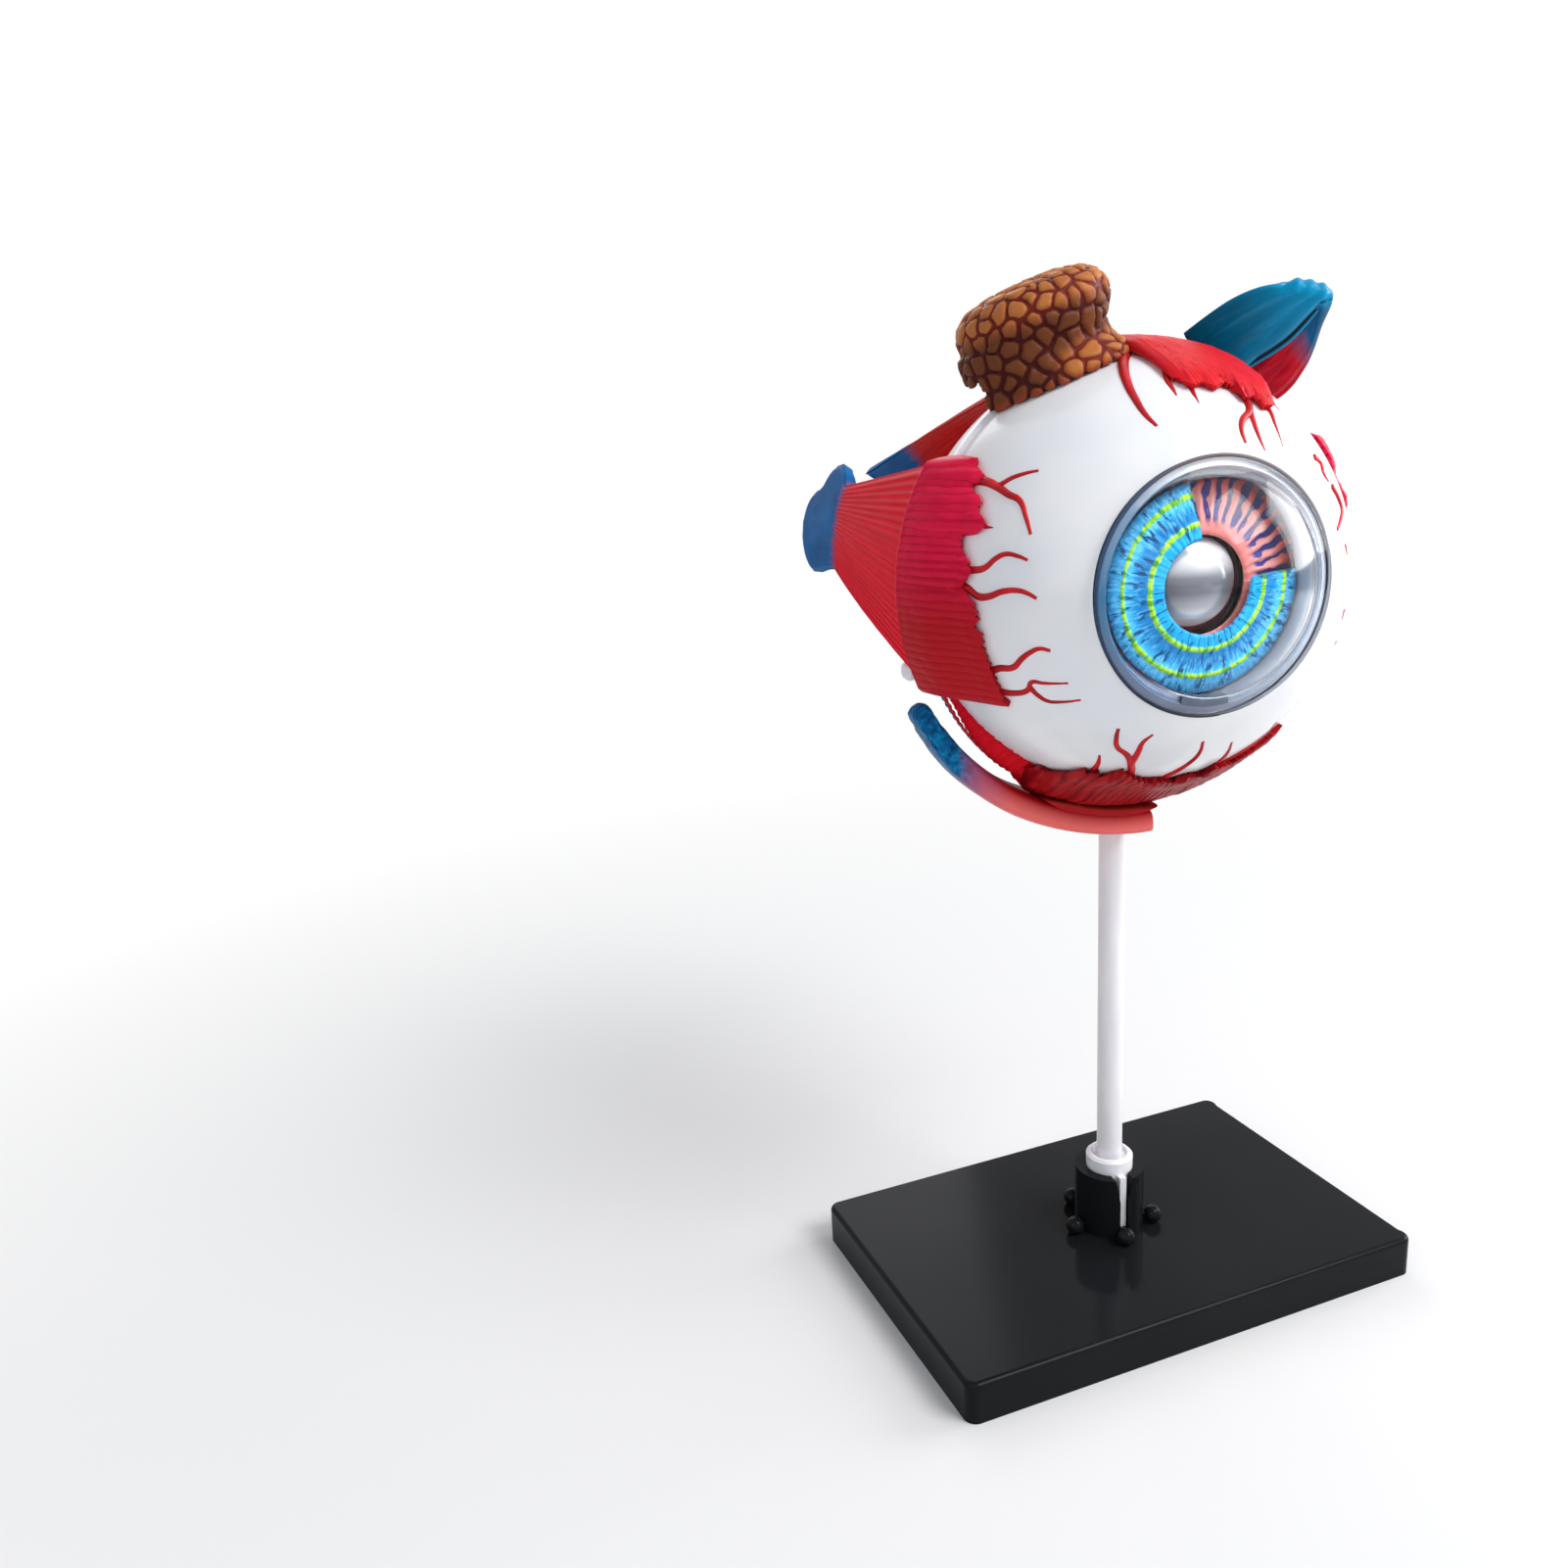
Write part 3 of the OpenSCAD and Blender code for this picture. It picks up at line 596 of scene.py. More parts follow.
def insertionFinish(name, crimson, dark, shadedRed, shadeFrom, shadeTo, streaky=0.35):
    paint = Finish(name, 0.36, Specular_IOR_Level=0.06)
    uv, u, v = paint.across()
    z = paint.split(paint.eyeMm())[2]
    ribs = paint.math("SINE", paint.math("MULTIPLY", u, 2 * pi * insertion["ribs"]))
    lines = paint.ramp(paint.math("MULTIPLY_ADD", ribs, 0.5, 0.5), fromTo(0.6, 0.95))
    streak = paint.cloud(paint.scaled(uv, (60, 3, 1)), 1.0, 3, 0.6)
    base = paint.mix(paint.math("MULTIPLY", lines, 0.55), crimson, dark)
    base = paint.mix(paint.ramp(streak, [(0.45, (0, 0, 0)), (0.7, (streaky,) * 3)]), base, dark)
    # painted shade: below shadeFrom the red turns to the darker shadedRed, standing in for shade low on the ball
    lower = paint.spread(z, shadeFrom, shadeTo)
    base = paint.mix(lower, base, paint.mix(paint.math("MULTIPLY", lines, 0.35), shadedRed, dark))
    paint.set("Base Color", base)
    paint.bump(streak, 0.2, 0.00012)
    return paint


def makeInsertions():
    side = insertionFinish("sideInsertion", (0.74, 0.012, 0.06), (0.4, 0.0, 0.022), (0.46, 0.01, 0.016), 5.0, -4.0)
    upper = insertionFinish("upperInsertion", (0.66, 0.014, 0.02), (0.42, 0.004, 0.02), (0.66, 0.02, 0.02),
                            -90, -99, 0.6)
    # painted shade: the insertion under the ball gets a darker copy of the red, with more dark streaks
    under = insertionFinish("underInsertionShaded", (0.42, 0.01, 0.014), (0.13, 0.0, 0.004), (0.42, 0.01, 0.014),
                            -90, -99, 0.8)
    seam = insertionFinish("seamBand", (0.86, 0.006, 0.03), (0.6, 0.0, 0.02), (0.72, 0.01, 0.02), 0, -24, 0.25)
    edges = {name: edgeFromPhoto(insertion[name + "Edge"], name) for name in ("lateral", "superior", "inferior")}
    # the upper edge runs on behind the crest, out of the photo's sight
    edges["superior"] = sorted(edges["superior"] + [(13.4, 11), (14.4, 6), (14.9, 1)])
    edges["medial"] = insertion["medialEdge"]
    for name, finish, low, high, top in (("lateral", side, -17, 13.6, 33.2), ("superior", upper, -1.6, 14.9, 31.35),
                                         ("inferior", under, -15.6, 16.5, 33.2), ("medial", side, -17, 13.6, 33.2)):
        patch = makePatch(name + "Patch", name, edges[name], low, high, top)
        finish.give(patch)
        settle(patch, "front_shell", [name + "_insertion"])
    frontBand = makeBand("frontBand", False)
    seam.give(frontBand)
    settle(frontBand, "front_shell")


makeInsertions()
print("insertions made")


# Red vessels that run out over the white

vessels = {
    "wide": 0.58, "sunk": 0.16,
    # photo points of each branch, then how thick it is at its start and end
    "branches": [
        ([(988, 476), (1000, 485), (1018, 496), (1035, 488), (1047, 484), (1061, 481)], 1.0, 0.45),
        ([(994, 492), (1006, 492), (1018, 497), (1030, 505), (1042, 512), (1048, 528), (1053, 546)], 1.25, 0.5),
        ([(985, 533), (998, 534), (1006, 538), (1015, 539)], 1.0, 0.3),
        ([(980, 581), (996, 582), (1006, 580), (1018, 570), (1027, 566), (1040, 568), (1050, 572)], 1.0, 0.45),
        ([(978, 597), (988, 600), (1000, 609), (1010, 609), (1024, 604), (1040, 603), (1050, 606), (1059, 611)],
         1.1, 0.5),
        ([(1008, 688), (1020, 682), (1035, 681), (1044, 672), (1052, 666), (1062, 662), (1073, 664)], 1.0, 0.5),
        ([(1006, 699), (1020, 704), (1035, 707), (1050, 704), (1054, 696), (1066, 697), (1091, 697)], 1.1, 0.4),
        ([(1052, 701), (1060, 709), (1070, 715), (1085, 716), (1104, 714)], 0.8, 0.4),
        ([(1150, 362), (1147, 375), (1151, 392), (1160, 410), (1170, 425), (1181, 436)], 1.5, 0.5),
        ([(1190, 380), (1192, 390), (1197, 398), (1201, 405)], 1.0, 0.35),
        ([(1213, 388), (1217, 400), (1224, 413)], 1.0, 0.3),
        ([(1232, 388), (1238, 401)], 0.9, 0.3),
        ([(1262, 396), (1270, 408), (1275, 420), (1268, 430), (1267, 440), (1271, 453)], 1.3, 0.5),
        ([(1275, 420), (1281, 437), (1286, 450), (1291, 461)], 0.9, 0.35),
        ([(1284, 408), (1295, 420), (1301, 434), (1309, 457)], 1.0, 0.35),
        ([(1293, 408), (1302, 416), (1311, 433)], 0.6, 0.2),
        ([(1106, 792), (1115, 786), (1121, 779), (1123, 770)], 1.2, 0.4),
        ([(1152, 795), (1155, 780), (1150, 769), (1141, 762), (1140, 752), (1142, 743)], 1.1, 0.5),
        ([(1155, 778), (1162, 767), (1167, 757), (1177, 749)], 1.0, 0.45),
        ([(1160, 798), (1178, 795), (1196, 788), (1212, 779), (1224, 768), (1228, 756)], 1.2, 0.5),
        ([(1210, 797), (1228, 787), (1245, 775), (1253, 767), (1257, 757)], 1.1, 0.45),
        ([(1185, 804), (1210, 799), (1232, 791), (1255, 780), (1275, 770), (1290, 757), (1302, 737)], 1.5, 0.5),
        ([(1340, 467), (1347, 474), (1350, 484), (1355, 492)], 0.9, 0.5),
        ([(1358, 497), (1364, 508), (1368, 520), (1367, 532), (1364, 541)], 0.9, 0.6),
        ([(1372, 556), (1374, 566)], 0.5, 0.4),
        ([(1371, 622), (1369, 632)], 0.5, 0.4),
        ([(1363, 654), (1361, 661)], 0.5, 0.3),
    ],
}


def vesselCurve(name, branches):
    curve = bpy.data.curves.new(name, "CURVE")
    curve.dimensions = "3D"
    curve.bevel_depth = vessels["wide"]
    curve.bevel_resolution = 3
    curve.resolution_u = 6
    curve.use_fill_caps = True
    for points, first, last in branches:
        line = curve.splines.new("BEZIER")
        line.bezier_points.add(len(points) - 1)
        for i, (knot, (px, py)) in enumerate(zip(line.bezier_points, points)):
            thick = first + (last - first) * i / (len(points) - 1)
            knot.co = onBall(px, py, eye["radius"] - vessels["sunk"])
            knot.handle_left_type = knot.handle_right_type = "AUTO"
            knot.radius = thick
    piece = bpy.data.objects.new(name, curve)
    bpy.context.collection.objects.link(piece)
    only(piece)
    bpy.ops.object.convert(target="MESH")
    tidyMesh(piece, 0.0005)
    return piece


def makeVessels():
    red = Finish("vesselRed", 0.32, Specular_IOR_Level=0.2)
    tone = red.cloud(red.place(), 260, 2)
    red.set("Base Color", red.ramp(tone, [(0.35, (0.38, 0.004, 0.008)), (0.65, (0.6, 0.012, 0.02))]))
    piece = vesselCurve("scleraVessels", vessels["branches"])
    red.give(piece)
    settle(piece, "front_shell")


makeVessels()
print("vessels made")


# White shells

def shellFinish():
    white = Finish("scleraWhite", 0.2, Specular_IOR_Level=0.45)
    at = white.eyeMm()
    broad = white.cloud(at, 0.06, 2)
    pores = white.cloud(at, 1.6, 3)
    base = white.ramp(broad, [(0.35, (0.8, 0.815, 0.86)), (0.65, (0.88, 0.885, 0.9))])
    white.set("Base Color", base)
    white.set("Roughness", white.math("MULTIPLY_ADD", pores, 0.1, 0.16))
    white.bump(pores, 0.05, 0.0001)
    white.give(cad["sclera_front"], cad["sclera_rear"])


shellFinish()


# Iris, cut open at the upper nose side

iris = {
    "hole": 5.95, "edge": 13.7, "low": 21.15, "rise": 1.7, "lift": 1.15, "thick": 0.75,
    "from": 100, "sweep": 265, "round": 420, "rows": 48,
    "rings": [7.95, 11.4], "ringHigh": 0.2, "ringWide": 0.36,
}


def radiusIn(paint, x, z):
    return paint.math("SQRT", paint.math("ADD", paint.math("MULTIPLY", x, x), paint.math("MULTIPLY", z, z)))


def makeIris():
    def shape(u, v):
        r = iris["hole"] + (iris["edge"] - iris["hole"]) * v
        a = radians(iris["from"] + iris["sweep"] * u)
        part = clamp((r - iris["hole"]) / (iris["edge"] - iris["hole"]))
        fibre = noise.noise(Vector((cos(a) * 16, sin(a) * 16, r * 0.12)))
        fine = noise.noise(Vector((cos(a) * 40, sin(a) * 40, r * 0.3 + 9)))
        h = iris["low"] + iris["rise"] * (1 - part ** 1.4) + iris["lift"] + 0.1 * fibre + 0.05 * fine - 0.08
        for ring in iris["rings"]:
            h += iris["ringHigh"] * exp(-((r - ring) / 0.28) ** 2)
        h -= 0.25 * (1 - smooth(r - iris["hole"], 0, 0.35))
        return Vector((r * cos(a), -h, r * sin(a))) + pupil

    piece = gridSheet("irisRing", iris["round"], iris["rows"], shape)
    thicken(piece, iris["thick"], 1.0)
    tidyMesh(piece, 0.0005)
    paint = Finish("irisBlue", 0.3, Specular_IOR_Level=0.15)
    x, y, z = paint.split(paint.eyeMm(pupil))
    radius = radiusIn(paint, x, z)
    spoke = paint.add("CombineXYZ", inlets={
        0: paint.math("DIVIDE", x, radius), 1: paint.math("DIVIDE", z, radius),
        2: paint.math("MULTIPLY", radius, 0.03)})
    streak = paint.cloud(spoke, 15, 3, 0.65)
    thin = paint.cloud(spoke, 30, 2, 0.6)
    wave = paint.math("MULTIPLY_ADD", paint.cloud(spoke, 9, 2), 0.4, paint.math("SUBTRACT", radius, 0.2))
    part = paint.spread(wave, 6.0, 13.6)
    blue = paint.ramp(part, [
        (0.0, (0.01, 0.22, 0.46)), (0.05, (0.004, 0.36, 0.74)), (0.2, (0.004, 0.33, 0.7)),
        (0.36, (0.002, 0.17, 0.44)), (0.5, (0.004, 0.22, 0.54)), (0.62, (0.04, 0.44, 0.8)),
        (0.84, (0.05, 0.36, 0.66)), (1.0, (0.008, 0.15, 0.34))])
    pale = paint.ramp(part, [(0.1, (0.2,) * 3), (0.3, (0.08,) * 3), (0.55, (0.9,) * 3), (0.75, (1, 1, 1)),
                             (1.0, (0.3,) * 3)])
    pale = paint.math("MULTIPLY", paint.ramp(thin, fromTo(0.5, 0.64, 0, 0.7)), pale)
    blue = paint.mix(pale, blue, (0.2, 0.6, 0.86))
    blue = paint.mix(paint.ramp(streak, fromTo(0.38, 0.46, 0.95, 0)), blue, (0.002, 0.05, 0.16))
    rings = [paint.ramp(paint.math("ABSOLUTE", paint.math("SUBTRACT", wave, at)),
                        [(iris["ringWide"] - 0.06, (1, 1, 1)), (iris["ringWide"] + 0.04, (0, 0, 0))])
             for at in iris["rings"]]
    beads = paint.ramp(thin, fromTo(0.36, 0.46, 0.3, 1))
    ring = paint.math("MULTIPLY", paint.math("MAXIMUM", *rings), beads)
    lime = paint.mix(paint.ramp(streak, fromTo(0.42, 0.56)),
                     (0.06, 0.34, 0.01), (0.4, 0.68, 0.02))
    paint.set("Base Color", paint.mix(ring, blue, lime))
    paint.bump(streak, 0.3, 0.0001)
    paint.give(piece)
    settle(piece, "iris", ["iris"])


makeIris()
print("iris made")


# Ciliary body: a cone of pink folds behind the iris

ciliary = {"hole": 6.3, "edge": 15.7, "back": 17.95, "low": 20.4, "rise": 2.0, "folds": 40, "foldHigh": 0.4,
           "round": 432, "rows": 40}


def makeCiliary():
    c = ciliary

    def shape(u, v):
        r = c["hole"] + (c["edge"] - c["hole"]) * v
        a = 2 * pi * u
        fold = 0.5 + 0.5 * cos(c["folds"] * a + 0.5 * sin(r * 1.3))
        fold *= smooth(v, 0.1, 0.22) * (1 - smooth(v, 0.86, 0.97))
        h = c["low"] + c["rise"] * (1 - v) - c["foldHigh"] * (1 - fold) - 0.5 * smooth(v, 0.93, 1)
        h -= 0.3 * (1 - smooth(v, 0, 0.04))
        return Vector((r * cos(a), -h, r * sin(a)))

    piece = gridSheet("ciliaryFolds", c["round"], c["rows"], shape)
    thicken(piece, 1.0, 1.0)
    tidyMesh(piece, 0.003)
    rim = revolve("ciliaryRim", [(c["edge"] - 1.6, c["back"]), (c["edge"], c["back"]), (c["edge"], c["low"] - 0.5),
                                 (c["edge"] - 0.8, c["low"] - 0.3), (c["edge"] - 1.6, c["low"] - 0.3)], 128)
    piece = joinAll([piece, rim])
    piece.data.transform(Matrix.Translation(pupil))
    pink = Finish("ciliaryPink", 0.32, Specular_IOR_Level=0.25)
    at = pink.eyeMm(pupil)
    x, y, z = pink.split(at)
    radius = radiusIn(pink, x, z)
    angle = pink.math("ARCTAN2", z, x)
    wobble = pink.math("MULTIPLY_ADD", pink.cloud(at, 0.55, 2), 0.16, pink.math("SUBTRACT", angle, 0.08))
    fold = pink.math("COSINE", pink.math("MULTIPLY", wobble, c["folds"]))
    reach = pink.spread(radius, 6.6, 13.6)
    width = pink.math("MULTIPLY_ADD", pink.cloud(at, 0.5, 2), 0.6, -0.55)
    stripe = pink.ramp(pink.math("SUBTRACT", pink.math("MULTIPLY", fold, -1), width),
                       fromTo(0.3, 0.42))
    stripe = pink.math("MULTIPLY", stripe, pink.ramp(reach, fromTo(0.16, 0.26)))
    flesh = pink.ramp(reach, [(0.0, (0.6, 0.16, 0.15)), (0.25, (0.76, 0.3, 0.28)), (0.6, (0.72, 0.28, 0.26)),
                              (0.85, (0.6, 0.1, 0.07)), (1.0, (0.3, 0.02, 0.03))])
    pink.set("Base Color", pink.mix(stripe, flesh, pink.ramp(reach, [(0.4, (0.03, 0.025, 0.2)),
                                                                      (1.0, (0.02, 0.01, 0.08))])))
    pink.bump(fold, 0.2, 0.0002)
    pink.give(piece)
    settle(piece, "ciliary_body", ["ciliary_body"])


# Lens

# silver: radius out to which the lens stays grey; band: how much wider the maroon painted shade grows low on the nose
# side
lensShape = {"silver": 5.8, "band": 1.2}


def makeLens():
    piece = cadCopy("lens", "silverLens")
    smoke = Finish("smokyLens", 0.16, Metallic=0.45)
    x, y, z = smoke.split(smoke.eyeMm(pupil))
    tone = smoke.spread(z, -5.5, 5.5)
    # painted highlights: the pale bands high and low on this grey ramp stand in for highlights on the lens
    grey = smoke.ramp(tone, [(0.0, (0.5, 0.5, 0.52)), (0.14, (0.78, 0.78, 0.8)), (0.26, (0.4, 0.4, 0.43)),
                             (0.42, (0.16, 0.16, 0.19)), (0.6, (0.2, 0.2, 0.23)), (0.72, (0.6, 0.6, 0.62)),
                             (0.86, (0.85, 0.85, 0.87)), (1.0, (0.6, 0.6, 0.62))])
    radius = radiusIn(smoke, x, z)
    # the maroon band, painted shade of the gap between lens and iris, lies low on the nose side
    lean = smoke.math("MAXIMUM", smoke.math("DIVIDE", smoke.math("SUBTRACT", x, z), radius), 0.0)
    reach = smoke.math("MULTIPLY_ADD", lean, lensShape["band"] / 1.4, radius)
    reach = smoke.math("SUBTRACT", reach, lensShape["silver"])
    smoke.set("Base Color", smoke.mix(smoke.ramp(reach, fromTo(0.0, 0.25)), grey,
                                      (0.07, 0.01, 0.02)))
    smoke.bump(smoke.cloud(smoke.place(), 300, 2), 0.03, 0.0001)
    smoke.give(piece)
    settle(piece, "lens", ["lens"])


# Cornea: a clear dome with a smoky ring that plugs into the opening

cornea = {
    "plug": 15.9, "skirtIn": 14.2, "back": 21.15, "front": 25.25, "bead": 0.9,
    "dome": 18.5, "wall": 0.8, "domeMiddle": 14.5, "round": 128,
    "tabFrom": -107, "tabTo": -81, "tabIn": 13.5, "tabOut": 14.35,
}


# Spins (radius, forward) points about the line of sight
def revolve(name, outline, steps, turn=2 * pi):
    deselect()
    bpy.ops.mesh.primitive_circle_add(vertices=len(outline), radius=1)
    piece = bpy.context.object
    piece.name = name
    for point, (radius, ahead) in zip(piece.data.vertices, outline):
        point.co = (radius, -ahead, 0)
    bpy.ops.object.mode_set(mode="EDIT")
    bpy.ops.mesh.select_all(action="SELECT")
    bpy.ops.mesh.spin(steps=steps, angle=turn, center=(0, 0, 0), axis=(0, 1, 0))
    bpy.ops.object.mode_set(mode="OBJECT")
    tidyMesh(piece, 0.001)
    return piece


def arcPoints(middle, radius, first, last, count):
    turns = [radians(first + (last - first) * i / count) for i in range(count + 1)]
    return [(middle[0] + radius * cos(a), middle[1] + radius * sin(a)) for a in turns]


def makeCornea():
    c = cornea
    outer = arcPoints((0, c["domeMiddle"]), c["dome"], 40.5, 89.9, 22)
    inner = arcPoints((0, c["domeMiddle"]), c["dome"] - c["wall"], 89.9, 40.5, 22)
    bead = arcPoints((c["plug"] - c["bead"], c["front"]), c["bead"], -70, 70, 10)
    outline = ([(c["skirtIn"], c["back"]), (c["plug"] - 0.25, c["back"]), (c["plug"], c["back"] + 0.3),
                (c["plug"], c["front"] - 1.0)] + bead + outer + inner
               + [(c["skirtIn"] - 0.5, c["front"] - 0.2), (c["skirtIn"], c["front"] - 0.8)])
    piece = revolve("corneaDome", outline, c["round"])
    piece.data.transform(Matrix.Translation(pupil))
    clear = Finish("clearCornea", 0.02, IOR=1.22, Transmission_Weight=1.0)
    clear.set("Base Color", (0.97, 0.985, 1.0, 1))
    clear.bump(clear.cloud(clear.place(), 90, 1), 0.02, 0.0001)
    clear.letLightThrough((0.96, 0.97, 0.98))
    clear.give(piece)
    settle(piece, "cornea", ["cornea"])


# The smoky ring, coloured with painted light and shade, and the dark tab, a piece that stands in for the shade in a
# slot, that show through the clear edge
def makeRim():
    c = cornea
    ring = revolve("corneaRing", [
        (c["skirtIn"] + 0.06, c["back"] + 0.2), (c["plug"] - 0.3, c["back"] + 0.2),
        (c["plug"] - 0.3, c["front"] - 0.5), (c["skirtIn"] + 0.6, c["front"] - 0.15),
        (c["skirtIn"] + 0.06, c["front"] - 0.9)], c["round"])
    ring.data.transform(Matrix.Translation(pupil))
    grey = Finish("rimGreyPaintedLight", 0.15, Specular_IOR_Level=0.6)
    at = grey.eyeMm(pupil)
    x, y, z = grey.split(at)
    # painted light and shade: round the ring the grey runs pale where light falls and dark on the far side; the
    # grey-blue tint is the plastic's own
    turn = grey.math("MULTIPLY_ADD", grey.math("ARCTAN2", z, x), 0.5 / pi, 0.5)
    turn = grey.math("MULTIPLY_ADD", grey.cloud(at, 0.3, 2), 0.06, grey.math("SUBTRACT", turn, 0.03))
    grey.set("Base Color", grey.ramp(turn, [
        (0.0, (0.03, 0.14, 0.28)), (0.12, (0.12, 0.16, 0.26)), (0.22, (0.17, 0.19, 0.26)), (0.34, (0.34, 0.38, 0.47)),
        (0.46, (0.58, 0.65, 0.8)), (0.58, (0.6, 0.66, 0.8)), (0.68, (0.62, 0.64, 0.7)), (0.78, (0.6, 0.61, 0.66)),
        (0.89, (0.14, 0.22, 0.32)), (1.0, (0.03, 0.14, 0.28))]))
    grey.give(ring)
    settle(ring, "cornea")

    # painted shade: a dark inlay piece put where a slot in the ring shows dark
    tab = revolve("corneaTab", [
        (c["tabIn"], c["front"] - 1.6), (c["tabOut"], c["front"] - 1.6), (c["tabOut"] + 0.4, c["front"] - 0.1),
        (c["tabIn"] + 0.2, c["front"] - 0.1)], 24, radians(c["tabTo"] - c["tabFrom"]))
    tab.data.transform(Matrix.Translation(pupil) @ Matrix.Rotation(-radians(c["tabFrom"]), 4, "Y"))
    closeEnds(tab)
    dark = Finish("tabSlotShade", 0.2, Specular_IOR_Level=0.4)
    dark.set("Base Color", dark.ramp(dark.cloud(dark.eyeMm(), 0.7, 2), [(0.3, (0.05, 0.07, 0.11)),
                                                                        (0.7, (0.09, 0.11, 0.16))]))
    dark.give(tab)
    settle(tab, "cornea")

    # a thin ring of painted shadow in the gap round the opening, with painted light where it is palest, on the nose
    # side
    line = revolve("openingLine", arcPoints((16.12, 25.42), 0.24, 0, 330, 11), c["round"])
    line.data.transform(Matrix.Translation(pupil))
    gapShadow = Finish("openingShade", 0.3, Specular_IOR_Level=0.3)
    x, y, z = gapShadow.split(gapShadow.eyeMm(pupil))
    turn = gapShadow.math("MULTIPLY_ADD", gapShadow.math("ARCTAN2", z, x), 0.5 / pi, 0.5)
    gapShadow.set("Base Color", gapShadow.ramp(turn, [
        (0.0, (0.02, 0.05, 0.12)), (0.16, (0.008, 0.008, 0.02)), (0.26, (0.02, 0.02, 0.03)),
        (0.33, (0.3, 0.31, 0.36)),
        (0.5, (0.5, 0.52, 0.58)), (0.64, (0.3, 0.29, 0.31)), (0.75, (0.16, 0.1, 0.1)), (0.88, (0.03, 0.07, 0.14)),
        (1.0, (0.02, 0.05, 0.12))]))
    gapShadow.give(line)
    settle(line, "cornea")


# Caps a piece wherever it is still open
def closeEnds(piece):
    only(piece)
    bpy.ops.object.mode_set(mode="EDIT")
    bpy.ops.mesh.select_all(action="DESELECT")
    bpy.ops.mesh.select_non_manifold()
    bpy.ops.mesh.edge_face_add()
    bpy.ops.object.mode_set(mode="OBJECT")
    tidyMesh(piece, 0.0005)


makeCiliary()
makeLens()
makeCornea()
makeRim()
print("ciliary body, lens and cornea made")


# Tear gland: a cobbled lump on the temple side

gland = {"voxel": 0.3, "spacing": 2.55, "grow": 0.3, "groove": 0.42, "seed": 11,
         "axis": (-0.333, 0.0698, 0.9403), "noseward": (0.9426, 0.0, 0.3338)}


def makeGland():
    piece = cadCopy("lacrimal_gland", "glandCobbles")
    useModifier(piece, "REMESH", mode="VOXEL", voxel_size=gland["voxel"])
    useModifier(piece, "SMOOTH", factor=0.5, iterations=10)
    mesh = piece.data
    draw = random.Random(gland["seed"])
    noise.seed_set(gland["seed"])
    order = list(range(len(mesh.vertices)))
    draw.shuffle(order)
    seeds = []
    for index in order:
        place = mesh.vertices[index].co
        need = gland["spacing"] * (0.85 + 0.55 * noise.noise(place * 0.23 + Vector((4, 1, 7))))
        if all((place - other).length > need for other in seeds):
            seeds.append(place.copy())
    tree = kdtree.KDTree(len(seeds))
    for index, place in enumerate(seeds):
        tree.insert(place, index)
    tree.balance()
    tones = [draw.random() for _ in seeds]
    layer = mesh.color_attributes.new("cobble", "FLOAT_COLOR", "POINT")
    normals = [v.normal.copy() for v in mesh.vertices]
    for v in mesh.vertices:
        warped = v.co + 0.5 * noise.noise_vector(v.co * 0.5)
        (_, first, da), (_, _, db) = tree.find_n(warped, 2)
        inside = smooth(db - da, 0.2, 1.0)
        layer.data[v.index].color = (inside, tones[first], 0, 1)
        v.co += normals[v.index] * (gland["groove"] * inside - gland["grow"])
    glandFinish(piece)
    settle(piece, "gland", ["lacrimal_gland"], angle=60)


def glandFinish(piece):
    paint = Finish("glandTan", 0.42, Specular_IOR_Level=0.08)
    cobble = paint.add("SeparateColor", inlets={0: paint.add("Attribute", "Color", attribute_name="cobble")})
    inside, tone = cobble.node.outputs[0], cobble.node.outputs[1]
    at = paint.eyeMm()
    high = paint.add("VectorMath", "Value", operation="DOT_PRODUCT", inlets={0: at, 1: gland["axis"]})
    across = paint.add("VectorMath", "Value", operation="DOT_PRODUCT", inlets={0: at, 1: gland["noseward"]})
    fromBall = paint.add("VectorMath", "Value", operation="LENGTH", inlets={0: at})
    # painted light and shade: crown and brim are painted lit tan, the waist between them shaded brown, and the
    # grooves follow
    litCrown = paint.spread(high, 36.2, 38.4)
    litBrim = paint.spread(high, 33.2, 31.4)
    litBrim = paint.math("MULTIPLY", litBrim, paint.spread(across, -5.0, -1.5))
    light = paint.math("MAXIMUM", litCrown, litBrim)
    spread = paint.math("MULTIPLY_ADD", tone, 0.35, -0.17)
    light = paint.math("ADD", light, spread)
    tan = paint.ramp(light, [(0.0, (0.14, 0.042, 0.015)), (0.3, (0.19, 0.056, 0.019)), (0.75, (0.34, 0.1, 0.028)),
                             (1.0, (0.44, 0.15, 0.04))])
    low = paint.spread(fromBall, 31.4, 30.5)
    tan = paint.mix(low, tan, (0.3, 0.05, 0.02))
    groove = paint.mix(light, (0.055, 0.006, 0.006), (0.15, 0.016, 0.01))
    paint.set("Base Color", paint.mix(paint.ramp(inside, fromTo(0.2, 0.62)), groove, tan))
    paint.bump(paint.cloud(at, 3.5, 2), 0.1, 0.0001)
    paint.give(piece)


makeGland()
print("gland made")


# Upper oblique: a folded strap of three cords

